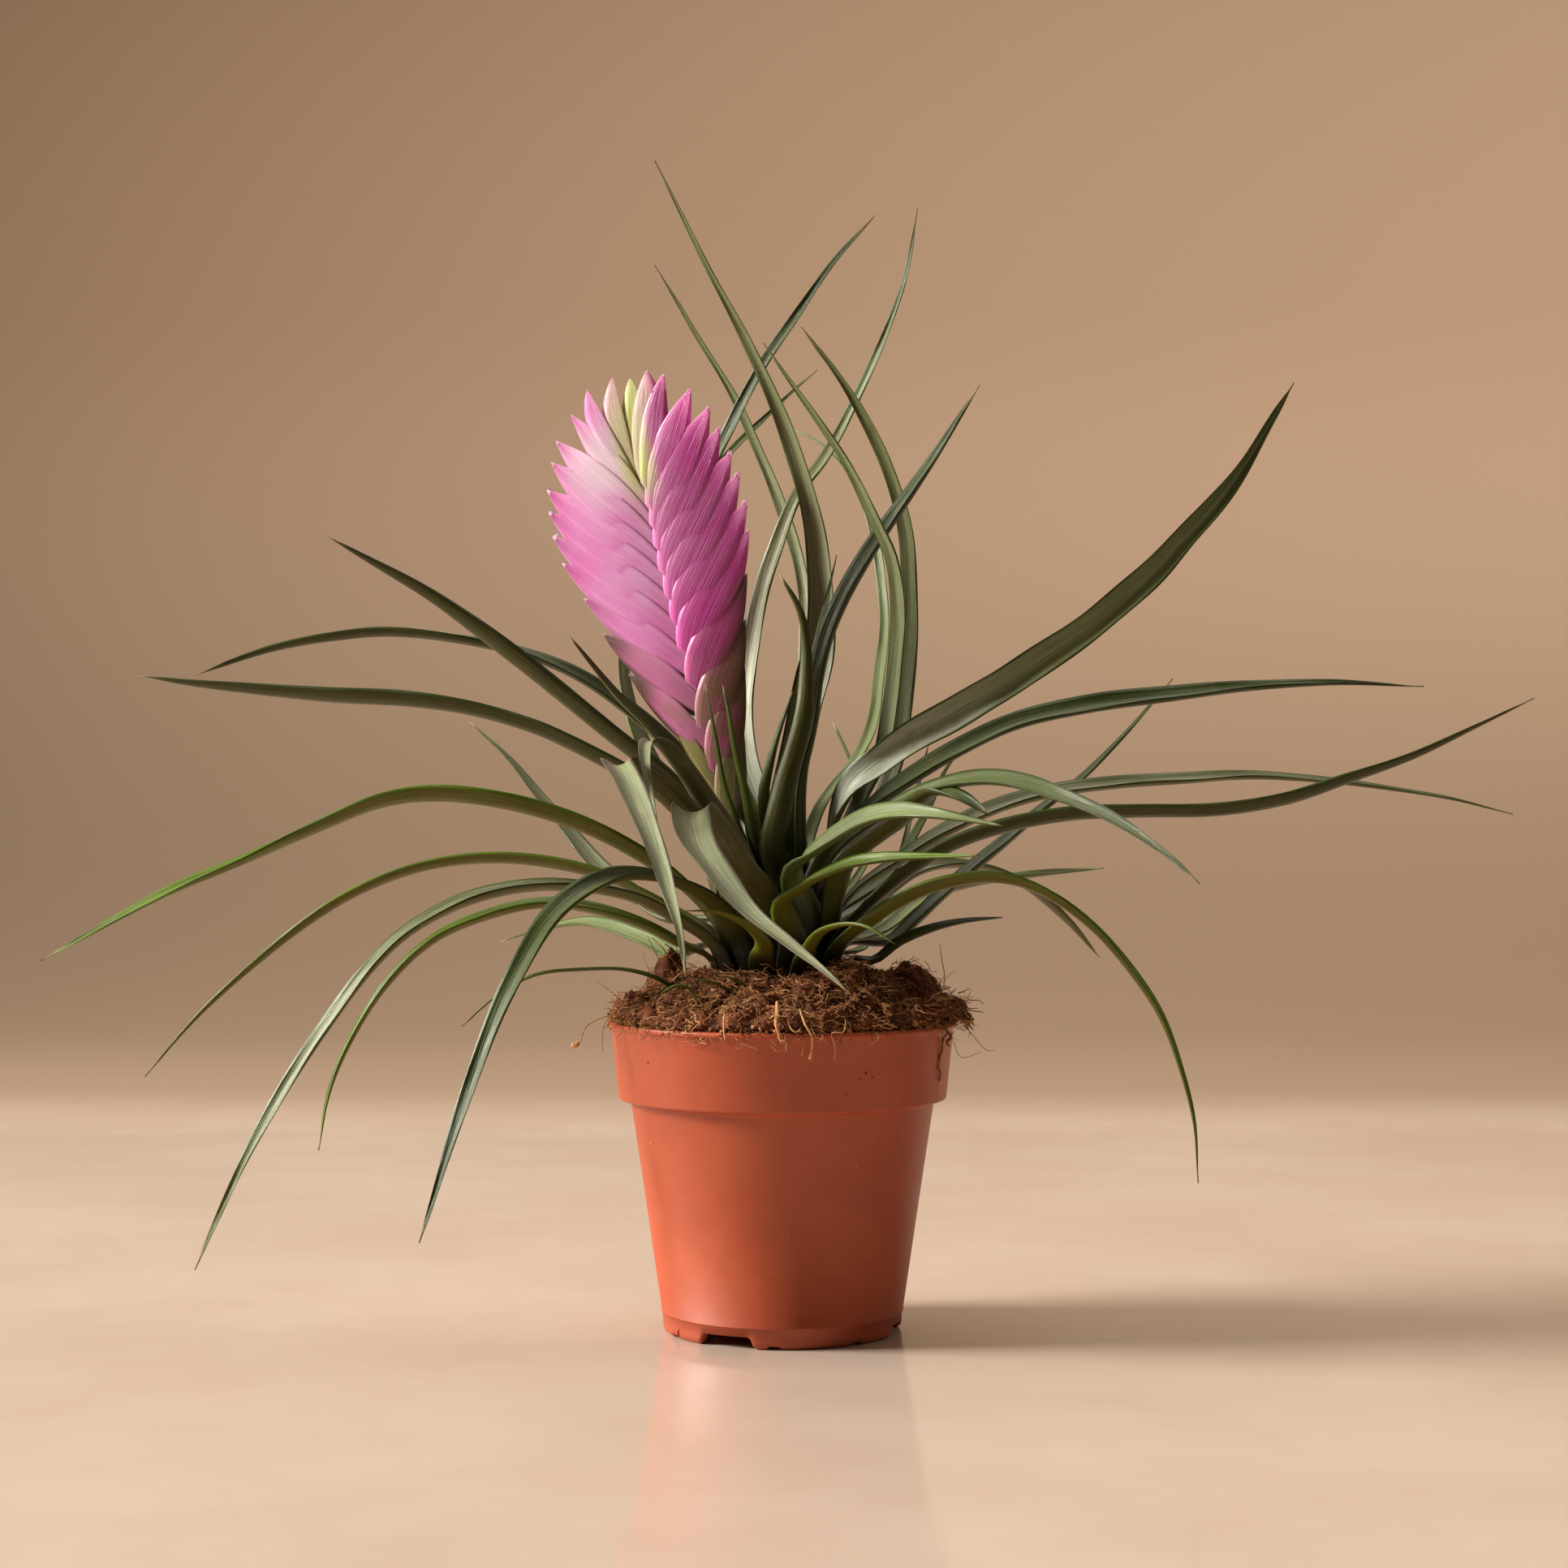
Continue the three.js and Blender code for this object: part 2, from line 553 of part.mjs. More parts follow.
    taper: 0.5,
    route: [[-28, 97, 26], [-37, 101, 40], [-49, 105, 58], [-60, 104, 76], [-73, 100, 96]] },
  { name: "leaf_front_1", azimuth: 228, layer: 5.8, sheath: 5.2, width: 10.5, tipAzimuth: 268,
    route: [[-18, 124, -24], [-28, 136, -34], [-38, 144, -45], [-43, 146.5, -56],
      [-41, 143, -66], [-37.5, 136, -77], [-34, 127, -88], [-30, 115, -99], [-27, 104, -109],
      [-25, 91, -120]] },
  { name: "leaf_front_2", azimuth: 244, layer: 4.9, sheath: 5, width: 9, tipAzimuth: 262,
    route: [[-11.9, 122, -19], [-18.5, 133.6, -26], [-25.6, 144.5, -35], [-31, 151, -42],
      [-34.8, 152, -48], [-35.6, 147, -54], [-34.4, 139, -60], [-32.4, 131, -65]] },
  { name: "leaf_front_3", azimuth: 262, layer: 6.7, sheath: 5.6, width: 11.5, tipAzimuth: 278,
    route: [[-6.8, 112, -22], [-10.5, 117, -27], [-14.5, 123, -33], [-19, 130, -40],
      [-22.8, 134.5, -47], [-24, 133, -56], [-22, 125.5, -69], [-17, 118, -82], [-8, 107, -98],
      [1, 100, -110], [10, 93, -121], [17, 87, -130]] },
  { name: "leaf_front_4", azimuth: 256, layer: 9.4, sheath: 4, width: 5.6, tipAzimuth: 215,
    route: [[-5, 99.5, -26], [-8.5, 103.7, -30], [-13, 106.4, -34], [-18.5, 108, -38],
      [-25, 108, -42]] },
  { name: "leaf_front_5", azimuth: 291, layer: 9.4, sheath: 3.6, width: 4.4, tipAzimuth: 320,
    route: [[7.3, 99, -24], [10.5, 102.8, -30], [16.5, 104.7, -37], [22, 103.9, -43],
      [29, 99.5, -50]] },
  { name: "leaf_front_6", azimuth: 298, layer: 5.8, sheath: 5.2, width: 9.5, tipAzimuth: 330,
    roll: [40, 19], taper: 0.48, blunt: 2.14,
    route: [[3, 119, -21], [9, 124.3, -27], [15.5, 128.6, -34], [22, 132, -42],
      [29.5, 133.6, -51], [38.5, 133, -60], [46.5, 131.8, -66], [57, 130, -73]] },
  { name: "leaf_front_7", azimuth: 283, layer: 7.6, sheath: 4, width: 6.7, tipAzimuth: 320,
    roll: [33, 16], taper: 0.54, blunt: 1.45,
    route: [[0, 110, -23], [4.6, 114.1, -28], [10.5, 117.5, -34], [18, 120.4, -41],
      [25, 121.5, -47], [33.6, 122, -54], [51, 122.2, -68]] },
  { name: "leaf_front_8", azimuth: 312, layer: 4, sheath: 4.1, width: 9.4, tipAzimuth: 310,
    roll: [23, 26], taper: 0.48, blunt: 1.2,
    route: [[15, 127, -16], [24, 133, -27], [32.5, 137.3, -37], [39, 139.8, -45],
      [46.5, 141.7, -55], [54.5, 142.2, -66], [62.5, 140.9, -77], [70.5, 138.2, -88],
      [85, 132, -102], [98, 123.5, -115], [108, 115, -126]] },
  { name: "leaf_front_9", azimuth: 326, layer: 6.7, sheath: 4, width: 9, tipAzimuth: 300,
    roll: [-20, 15], taper: 0.6, blunt: 3,
    route: [[16, 120, -25], [23.5, 127, -34], [30, 131.5, -41], [35, 136, -48], [39.5, 139, -55],
      [46, 137.5, -62], [54, 132.5, -68]] },
  { name: "leaf_right_1", azimuth: 345, layer: 3.1, sheath: 5, width: 12.6, roll: [43, 35],
    taper: 0.5, blunt: 1.9,
    route: [[17, 139.5, -8], [25, 146.5, -10], [33, 152.5, -11], [42.7, 158, -12],
      [50.5, 162.8, -13], [58.5, 167.3, -13], [70, 175, -13], [81.8, 183.4, -13],
      [94.4, 194.3, -12], [103, 203.5, -11.5], [111.7, 212.8, -11], [120.4, 224.6, -9],
      [132.3, 244.8, -5]] },
  { name: "leaf_right_2", azimuth: 348, layer: 4.9, sheath: 4.2, width: 9.5, roll: [30, 13],
    taper: 0.58, blunt: 1.57,
    route: [[18, 130, -6], [25, 136.5, -6], [32, 141.5, -6], [45, 149.5, -6], [60, 156.5, -6],
      [79, 161, -6], [98, 163.5, -5], [121, 166, -4], [144, 167, -2], [166, 166, 0]] },
  { name: "leaf_right_3", azimuth: 4, layer: 5.8, sheath: 4.8, width: 9.1, roll: [20, 14],
    taper: 0.39, blunt: 1.27,
    route: [[19, 113, 2], [29, 120, 4], [41, 128, 6], [56, 135, 8], [71, 139, 9], [87, 141, 10],
      [102, 142, 10], [121, 143, 10], [138, 142, 9], [155, 140, 8], [173, 137, 7], [189, 133, 6]] },
  { name: "leaf_right_4", azimuth: 340, layer: 7.6, sheath: 5.6, width: 9.1, roll: [-15, -2],
    taper: 0.5, blunt: 2.15,
    route: [[22.5, 108.5, -9], [32, 117.5, -11], [43, 124.6, -13], [57, 129.6, -15],
      [74, 132.8, -17], [92, 133.6, -18], [113, 134, -18], [131, 137, -17], [146, 142, -15],
      [163, 148, -13], [180, 156, -11], [194.5, 163, -9]] },
  { name: "leaf_right_5", azimuth: 331, layer: 8.5, sheath: 5.4, width: 8.2, roll: [-15, -3],
    taper: 0.49, blunt: 1,
    route: [[23, 105, -15], [29.5, 110, -17], [37, 113.6, -20], [46.5, 116, -23],
      [54.5, 116.6, -25], [62.5, 115.2, -27], [70, 111.8, -29], [81.5, 103, -31],
      [91.2, 91.5, -33], [98.3, 80.3, -35], [103.3, 66.6, -37], [106.6, 53, -38],
      [107.6, 37.5, -39]] },
  { name: "leaf_right_6", azimuth: 352, layer: 9.4, sheath: 3.8, width: 5.8, roll: [19, 17],
    taper: 0.54, blunt: 1.56,
    route: [[23, 95, -3], [30.5, 100.1, -5], [38.5, 103.4, -7], [46.5, 105.3, -8],
      [57, 106.3, -10]] },
  { name: "leaf_right_7", azimuth: 24, layer: 8.5, sheath: 4.9, width: 8.4, roll: [2, -2],
    taper: 0.43, blunt: 1.11,
    route: [[28, 100, 14], [34, 105.3, 18], [41, 112, 24], [49, 119, 31], [57.5, 126, 38],
      [68, 135, 46], [77, 142, 52], [88, 153, 60], [101, 168, 70]] },
  { name: "leaf_back_6", azimuth: 38, layer: 7.6, sheath: 4.4, width: 7.3, roll: [11, -6],
    taper: 0.55, blunt: 1.9,
    route: [[27, 113, 24], [34, 118, 31], [41, 120, 38], [52, 119.5, 50], [63, 114.5, 62],
      [73, 106, 73], [82, 96, 84]] },
  { name: "leaf_back_7", azimuth: 52, layer: 9.4, sheath: 4.2, width: 6.9, roll: [3, 19],
    taper: 0.55, blunt: 1.9,
    route: [[26, 103, 26], [36, 111, 44], [48, 115, 62], [61, 117, 80], [71, 118, 95],
      [83, 119, 110]] },
  { name: "leaf_back_8", azimuth: 42, layer: 6.7, sheath: 3, width: 5,
    route: [[28, 118, 26], [36, 131, 36], [39, 137, 40], [42, 144, 44], [47, 151, 49]] },
  { name: "leaf_back_9", azimuth: 114, layer: 5.8, sheath: 3.7, width: 9,
    route: [[-8, 120, 36], [-11, 128, 60], [-14, 130, 84], [-16, 124, 106], [-17, 112, 124],
      [-17, 99, 132]] },
  { name: "leaf_back_10", azimuth: 90, layer: 6.7, sheath: 4, width: 8.5,
    route: [[3, 116, 36], [7, 122, 60], [10, 120, 82], [11, 110, 102], [11, 96, 116]] },
  { name: "leaf_back_11", azimuth: 112, layer: 7.6, sheath: 4.2, width: 8,
    route: [[-13, 108, 32], [-17, 116, 54], [-18, 118, 76], [-16, 112, 96], [-13, 102, 112]] },
  { name: "leaf_back_12", azimuth: 84, layer: 9.4, sheath: 3, width: 3,
    route: [[20, 98, 30], [25, 106, 40], [30, 120, 54], [34, 136, 66], [38, 152, 76]] },
  { name: "leaf_low_1", azimuth: 185, width: 3.2, gutter: 0.7,
    route: [[-24, 82, -9], [-27, 87, -10], [-32, 90.5, -12], [-41, 93, -14], [-51, 93, -16],
      [-64, 91.5, -18], [-74, 86, -19], [-83, 78, -20]] },
  { name: "leaf_low_2", azimuth: 200, width: 3.6, gutter: 0.7,
    route: [[-10, 81, -26], [-13, 86.5, -29], [-17.5, 89.5, -31], [-22.5, 90.3, -32]] },
  { name: "leaf_low_3", azimuth: 200, width: 3, gutter: 0.7,
    route: [[-5.5, 82, -26], [-8.5, 87.5, -28], [-12, 90, -30], [-15.5, 91.3, -31]] },
  { name: "leaf_low_4", azimuth: 200, width: 2.6, gutter: 0.7,
    route: [[-21, 82, -30], [-24, 88, -32], [-27.5, 88.7, -34], [-33, 85.5, -38]] },
];

function leafColour(name) {
  if (name.includes("back")) return COLOURS.leafPale;
  if (name.includes("heart") || name.includes("low")) return COLOURS.leafYoung;
  return COLOURS.leaf;
}

function makeLeaf(leaf) {
  return piece(leaf.name, leafGeometry(leaf), leafColour(leaf.name), 0.55);
}

// Coir

function coirRelief(x, y) {
  return (
    0.8 * Math.sin(0.55 * x + 1.3) * Math.cos(0.47 * y) +
    0.6 * Math.sin(0.9 * x - 0.7 * y) +
    0.45 * Math.sin(1.7 * x + 2.1 * y + 0.4)
  );
}

function coirEdge(angle) {
  const bulgeAngle = THREE.MathUtils.degToRad(COIR_BULGE.bearing - 90);
  const away = Math.atan2(Math.sin(angle - bulgeAngle), Math.cos(angle - bulgeAngle));
  const spread = THREE.MathUtils.degToRad(COIR_BULGE.spread);
  const bulge = COIR_BULGE.reach * Math.exp(-((away / spread) ** 2));
  return COIR.edgeRadius + bulge + 0.35 * Math.sin(7 * angle) + 0.25 * Math.sin(17 * angle + 1);
}

function coirHeight(x, y, edge) {
  const radius = Math.hypot(x, y);
  const inwards = smooth(0, edge - COIR.crownRadius, edge - radius);
  let height = mix(COIR.edgeHeight + 1.2, COIR.crownHeight, inwards);
  const settled = smooth(0, 5, edge - radius);
  for (const lump of COIR_LUMPS) {
    const away = Math.hypot(x - lump.x, y - lump.y) / lump.spread;
    height += lump.rise * Math.exp(-away * away) * settled;
  }
  return height + coirRelief(x, y) * (0.35 + 0.65 * settled);
}

function makeCoir(lowLeaves) {
  const outerLayer = 10.3;
  const rings = [];
  const ring = (radiusAt, heightAt) => rings.push({ radiusAt, heightAt });
  const wallRadius = (z) => coneInnerRadius(z) - GAP - 0.1;
  const stepFoot = POT.bodyTopHeight + 0.6;
  const stepTop = POT.collarFootHeight + 1.4;
  ring(() => wallRadius(POT.floorTop), () => POT.floorTop + GAP);
  ring(() => wallRadius(stepFoot - 0.1), () => stepFoot + GAP);
  ring(() => wallRadius(stepTop), () => stepTop + 2 * GAP);
  ring(() => wallRadius(POT.height - 0.6), () => POT.height + GAP);
  ring((angle) => coirEdge(angle), () => POT.height + GAP);
  ring((angle) => coirEdge(angle) + 0.2, () => COIR.edgeHeight + 0.4);
  for (let i = 0; i < COIR.topRings; i++) {
    const share = (i + 0.25) / (COIR.topRings - 1 + 0.25);
    ring(
      (angle) => mix(coirEdge(angle), cupRadius(outerLayer, COIR.crownHeight) + 0.2, share),
      (x, y, angle) => coirHeight(x, y, coirEdge(angle)),
    );
  }
  ring(() => cupRadius(outerLayer, COIR.pitFloor) + 0.2, () => COIR.pitFloor);
  const points = [new THREE.Vector3(0, 0, POT.floorTop + GAP)];
  const triangles = [];
  rings.forEach(({ radiusAt, heightAt }, r) => {
    const centreX = r > 5 ? CUP.axisX * Math.min(1, (r - 5) / (COIR.topRings - 1)) : 0;
    for (let i = 0; i < COIR.sides; i++) {
      const angle = (2 * Math.PI * i) / COIR.sides;
      const x = centreX + radiusAt(angle) * Math.cos(angle);
      const y = radiusAt(angle) * Math.sin(angle);
      points.push(new THREE.Vector3(x, y, heightAt(x, y, angle)));
    }
  });
  const pit = points.push(new THREE.Vector3(CUP.axisX, 0, COIR.pitFloor)) - 1;
  for (let i = 0; i < COIR.sides; i++) {
    const next = (i + 1) % COIR.sides;
    triangles.push(0, 1 + next, 1 + i);
    for (let r = 1; r < rings.length; r++) {
      const low = 1 + (r - 1) * COIR.sides;
      const high = 1 + r * COIR.sides;
      triangles.push(low + i, low + next, high + i);
      triangles.push(low + next, high + next, high + i);
    }
    const top = 1 + (rings.length - 1) * COIR.sides;
    triangles.push(top + i, top + next, pit);
  }
  let solid = toSolid(geometryFrom(points, triangles));
  for (const leaf of lowLeaves) solid = solid.subtract(leafSocket(leaf));
  return piece("coir", toGeometry(largestBody(solid)), COLOURS.coir, 0.95);
}

// The hole in which a leaf that comes out of the coir by itself stands
function leafSocket(leaf) {
  const room = 2 * GAP;
  const wider = { ...leaf, width: leaf.width + 2 * room };
  const blade = leafGeometry(wider, BLADE.thickness + 2 * room);
  const foot = new THREE.IcosahedronGeometry(wider.width / 2 + room, 1);
  foot.translate(...leafCurve(leaf).getPoint(0).toArray());
  return joined([blade, foot]);
}

// Stem and flower spike

function spikePoint(along, across, forward) {
  const sine = Math.sin(SPIKE.lean);
  const cosine = Math.cos(SPIKE.lean);
  return new THREE.Vector3(
    SPIKE.baseX - along * sine + across * cosine,
    SPIKE.baseY - forward,
    SPIKE.baseZ + along * cosine + across * sine,
  );
}

// The stalk: a round stem from the coir to the spike, in points [x, y, z, radius]
const STALK = [
  [-1, 0, 84.2, 1.9],
  [-1, 0, 108, 1.9],
  [-2.6, 0, 122, 1.9],
  [-8.3, 1, 134, 2.1],
  [-13.2, 1, 142, 2.4],
];
const STALK_SIDES = 8;

function stalkGeometry() {
  const points = [];
  const triangles = [];
  const centres = STALK.map(([x, y, z]) => new THREE.Vector3(x, y, z));
  const curve = new THREE.CatmullRomCurve3(centres, false, "centripetal");
  const rings = 8;
  for (let r = 0; r <= rings; r++) {
    const share = r / rings;
    const centre = curve.getPoint(share);
    const along = curve.getTangent(share);
    const side = new THREE.Vector3(0, 1, 0).cross(along).normalize();
    const front = new THREE.Vector3().crossVectors(along, side);
    const place = share * (STALK.length - 1);
    const index = Math.min(STALK.length - 2, Math.floor(place));
    const radius = mix(STALK[index][3], STALK[index + 1][3], place - index);
    for (let i = 0; i < STALK_SIDES; i++) {
      const angle = (2 * Math.PI * i) / STALK_SIDES;
      points.push(
        centre
          .clone()
          .addScaledVector(side, radius * Math.cos(angle))
          .addScaledVector(front, radius * Math.sin(angle)),
      );
    }
  }
  const low = points.push(centres[0]) - 1;
  const high = points.push(centres.at(-1)) - 1;
  for (let i = 0; i < STALK_SIDES; i++) {
    const next = (i + 1) % STALK_SIDES;
    triangles.push(low, next, i);
    for (let r = 0; r < rings; r++) {
      const a = r * STALK_SIDES;
      const b = a + STALK_SIDES;
      triangles.push(a + i, a + next, b + i, a + next, b + next, b + i);
    }
    triangles.push(high, rings * STALK_SIDES + i, rings * STALK_SIDES + next);
  }
  return geometryFrom(points, triangles);
}

// The bracts in two rows, from the bottom up: where each bract's tip lies along the spike and
// across it, and where its base leaves the middle line. side is -1 for the left row.
const BRACTS = [
  { part: "stem", side: 1, tip: [24, 10.5], root: -8 },
  { part: "stem", side: -1, tip: [22, -13.5], root: -6 },
  { part: "spike", side: -1, tip: [32.5, -19], root: 2 },
  { part: "spike", side: 1, tip: [36, 13.5], root: 6 },
  { part: "spike", side: -1, tip: [42, -22.6], root: 10 },
  { part: "spike", side: 1, tip: [47, 17.2], root: 13 },
  { part: "spike", side: -1, tip: [52, -25.6], root: 17 },
  { part: "spike", side: 1, tip: [57.5, 21], root: 20 },
  { part: "spike", side: -1, tip: [62.2, -28.8], root: 24 },
  { part: "spike", side: 1, tip: [65, 22.4], root: 27 },
  { part: "spike", side: -1, tip: [69.8, -29.8], root: 31 },
  { part: "spike", side: 1, tip: [72.7, 22], root: 34 },
  { part: "spike", side: -1, tip: [77, -29], root: 37 },
  { part: "spike", side: 1, tip: [78.5, 21.8], root: 41 },
  { part: "spike", side: -1, tip: [83.5, -27], root: 44 },
  { part: "spike", side: 1, tip: [85, 20.4], root: 47 },
  { part: "spike", side: -1, tip: [88.4, -25.2], root: 50 },
  { part: "spike", side: 1, tip: [91, 18.8], root: 53 },
  { part: "spike", side: -1, tip: [93.6, -22], root: 57 },
  { part: "spike", side: 1, tip: [97, 15], root: 60 },
  { part: "spike", side: -1, tip: [99, -17.3], root: 63 },
  { part: "spike", side: 1, tip: [102.5, 9.6], root: 66 },
  { part: "tip", side: -1, tip: [103.6, -11.2], root: 69 },
  { part: "tip", side: 1, tip: [105, 4.8], root: 73 },
  { part: "tip", side: -1, tip: [104.4, -4], root: 77 },
];
const BRACT = { depth: 5.2, keelDrop: 9, rings: 5, tipRun: 0.93 };

// A folded bract: its keel runs along the outer lower edge, and it thickens towards the middle line.
function bractGeometry({ side, tip, root }, swell) {
  const points = [];
  const triangles = [];
  const [tipAlong, tipAcross] = tip;
  const keelRoot = new THREE.Vector2(root - BRACT.keelDrop, 0.6 * side);
  const keelElbow = new THREE.Vector2(mix(root, tipAlong, 0.35) - 4, tipAcross * 0.72);
  const brimRoot = new THREE.Vector2(root + 7, -1.5 * side);
  const brimElbow = new THREE.Vector2(mix(root, tipAlong, 0.7) + 3.5, tipAcross * 0.42);
  const end = new THREE.Vector2(tipAlong, tipAcross);
  const keel = new THREE.QuadraticBezierCurve(keelRoot, keelElbow, end);
  const brim = new THREE.QuadraticBezierCurve(brimRoot, brimElbow, end);
  for (let r = 0; r < BRACT.rings; r++) {
    const share = (r / (BRACT.rings - 1)) * BRACT.tipRun;
    const low = keel.getPoint(share);
    const high = brim.getPoint(share);
    const depth = (BRACT.depth + swell) * Math.pow(1 - share, 0.55) + 0.5;
    const middle = low.clone().lerp(high, 0.5);
    points.push(spikePoint(low.x, low.y, 0.35));
    points.push(spikePoint(low.x, low.y, -0.35));
    points.push(spikePoint(middle.x, middle.y, -depth * 0.82));
    points.push(spikePoint(high.x, high.y, -depth));
    points.push(spikePoint(high.x, high.y, depth));
    points.push(spikePoint(middle.x, middle.y, depth * 0.82));
  }
  const tipPoint = points.push(spikePoint(tipAlong, tipAcross, 0)) - 1;
  const loop = 6;
  for (let i = 0; i < loop; i++) {
    const next = (i + 1) % loop;
    if (i > 0 && i < loop - 1) triangles.push(0, i, next);
    for (let r = 0; r < BRACT.rings - 1; r++) {
      const a = r * loop;
      const b = a + loop;
      triangles.push(a + i, b + next, a + next, a + i, b + i, b + next);
    }
    const last = (BRACT.rings - 1) * loop;
    triangles.push(last + i, tipPoint, last + next);
  }
  const geometry = geometryFrom(points, triangles);
  if (toSolid(geometry).volume() < 0) geometry.setIndex(triangles.toReversed());
  return geometry;
}

// The flat core that the bracts grow from
function rachisGeometry(from, to, depth) {
  const outline = new THREE.Shape();
  outline.absellipse(0, 0, 4, depth, 0, 2 * Math.PI);
  const start = spikePoint(from, -1.5, 0);
  const end = spikePoint(to, -1.5, 0);
  const core = new THREE.ExtrudeGeometry(outline, {
    depth: start.distanceTo(end),
    bevelEnabled: false,
    curveSegments: 6,
  });
  const along = end.clone().sub(start).normalize();
  const across = spikePoint(0, 1, 0).sub(spikePoint(0, 0, 0));
  const forward = new THREE.Vector3().crossVectors(along, across);
  core.applyMatrix4(new THREE.Matrix4().makeBasis(across, forward, along));
  core.translate(start.x, start.y, start.z);
  return core;
}

function bractsOf(part) {
  const swellByPlace = (index) => 0.9 * Math.sin((Math.PI * index) / BRACTS.length);
  return BRACTS.flatMap((bract, index) =>
    bract.part === part ? [bractGeometry(bract, swellByPlace(index))] : [],
  );
}

// A copy of a solid grown by the gap, to cut its neighbour clear of it
function grown(solid) {
  const reach = GAP + 0.1;
  const directions = [
    [1, 1, 1], [1, 1, -1], [1, -1, 1], [1, -1, -1],
    [-1, 1, 1], [-1, 1, -1], [-1, -1, 1], [-1, -1, -1],
  ];
  return directions.reduce(
    (whole, [x, y, z]) => whole.add(solid.translate([x * reach, y * reach, z * reach])),
    solid,
  );
}

function makeStemAndSpike() {
  const spike = joined([...bractsOf("spike"), rachisGeometry(2, 74, 3.2)]);
  const stemWhole = joined([stalkGeometry(), ...bractsOf("stem"), rachisGeometry(-6, 12, 2.4)]);
  const tipWhole = joined([...bractsOf("tip"), rachisGeometry(70, 92, 2)]);
  const keepOff = grown(spike);
  const stem = largestBody(stemWhole.subtract(keepOff));
  const tip = largestBody(tipWhole.subtract(keepOff));
  return [
    piece("stem", toGeometry(stem), COLOURS.stem, 0.5),
    piece("flower_spike", toGeometry(spike), COLOURS.bract, 0.45),
    piece("flower_spike_tip", toGeometry(tip), COLOURS.bractYoung, 0.45),
  ];
}

const plant = new THREE.Group();
plant.add(makePot());
plant.add(makeCoir(LEAVES.filter((leaf) => leaf.layer === undefined)));
plant.add(...makeStemAndSpike());
plant.add(...LEAVES.map(makeLeaf));

export default plant;
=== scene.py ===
"""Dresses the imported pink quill: its leaves, flower spike, coir and pot, on a plain floor in soft light.

Blender works in metres here, in the part's own frame: +Z up, the pot's axis at the origin and the
viewer at -Y. Sizes in this script are in millimetres, and MM turns them into metres.
"""

import logging
import math
import random
from collections.abc import Callable, Iterable, Sequence
from dataclasses import dataclass, field
from enum import Enum
from functools import partialmethod
from typing import ClassVar

import bmesh
import bpy
import numpy as np
from mathutils import Matrix, Vector, noise


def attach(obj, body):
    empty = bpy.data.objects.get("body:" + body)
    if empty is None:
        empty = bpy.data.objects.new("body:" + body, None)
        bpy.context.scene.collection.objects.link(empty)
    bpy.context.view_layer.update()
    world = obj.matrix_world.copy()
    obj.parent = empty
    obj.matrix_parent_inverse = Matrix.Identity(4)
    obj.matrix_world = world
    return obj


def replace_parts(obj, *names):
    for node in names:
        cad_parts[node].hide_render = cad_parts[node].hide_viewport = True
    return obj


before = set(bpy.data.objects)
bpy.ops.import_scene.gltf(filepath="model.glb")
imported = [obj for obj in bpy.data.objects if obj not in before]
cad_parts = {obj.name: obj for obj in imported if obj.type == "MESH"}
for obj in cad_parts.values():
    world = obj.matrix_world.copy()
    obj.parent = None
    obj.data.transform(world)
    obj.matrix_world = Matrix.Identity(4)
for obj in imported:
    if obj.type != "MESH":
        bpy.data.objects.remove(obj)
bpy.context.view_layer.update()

LOG = logging.getLogger("pink_quill")
MM = 0.001
BODY = "root"
# Vertices nearer to each other than this, in metres, are one
WELD = 1e-6
# Too small a length to matter, where a length of zero would fail
TINY = 1e-9

Mesh = bpy.types.Mesh
Material = bpy.types.Material
Pair = tuple[float, float]
Spot = tuple[float, float, float]
Colour = tuple[float, float, float, float]
Vertex = tuple[Vector, Vector]
Place = Callable[[float, float], Vertex]
Copy = tuple[int, Matrix, Vector]


# Small helpers


def tint(code: str) -> Colour:
    """Turn a screen colour such as c4683f into the linear values that shaders use."""
    screen = [int(code[i : i + 2], 16) / 255 for i in (0, 2, 4)]
    linear = [c / 12.92 if c <= 0.04045 else ((c + 0.055) / 1.055) ** 2.4 for c in screen]
    return (linear[0], linear[1], linear[2], 1.0)


def mix(low: float, high: float, share: float) -> float:
    """Return the value that lies at a share of the way from low to high."""
    return low + (high - low) * share


def smooth(low: float, high: float, value: float) -> float:
    """Rise softly from 0 at low to 1 at high."""
    share = min(1.0, max(0.0, (value - low) / (high - low)))
    return share * share * (3 - 2 * share)


def at_bearing(bearing: float, radius: float, height: float) -> Vector:
    """Return the place at a bearing in degrees from the viewer's side, positive to the right."""
    angle = math.radians(bearing)
    return Vector((radius * math.sin(angle), -radius * math.cos(angle), height))


def rough_noise(place: Vector, size: float, octaves: int = 4) -> float:
    """Return noise between about -1 and 1 whose largest lumps are about size across."""
    fading, narrowing = 0.9, 2.1
    return noise.fractal(place / size, fading, narrowing, octaves)


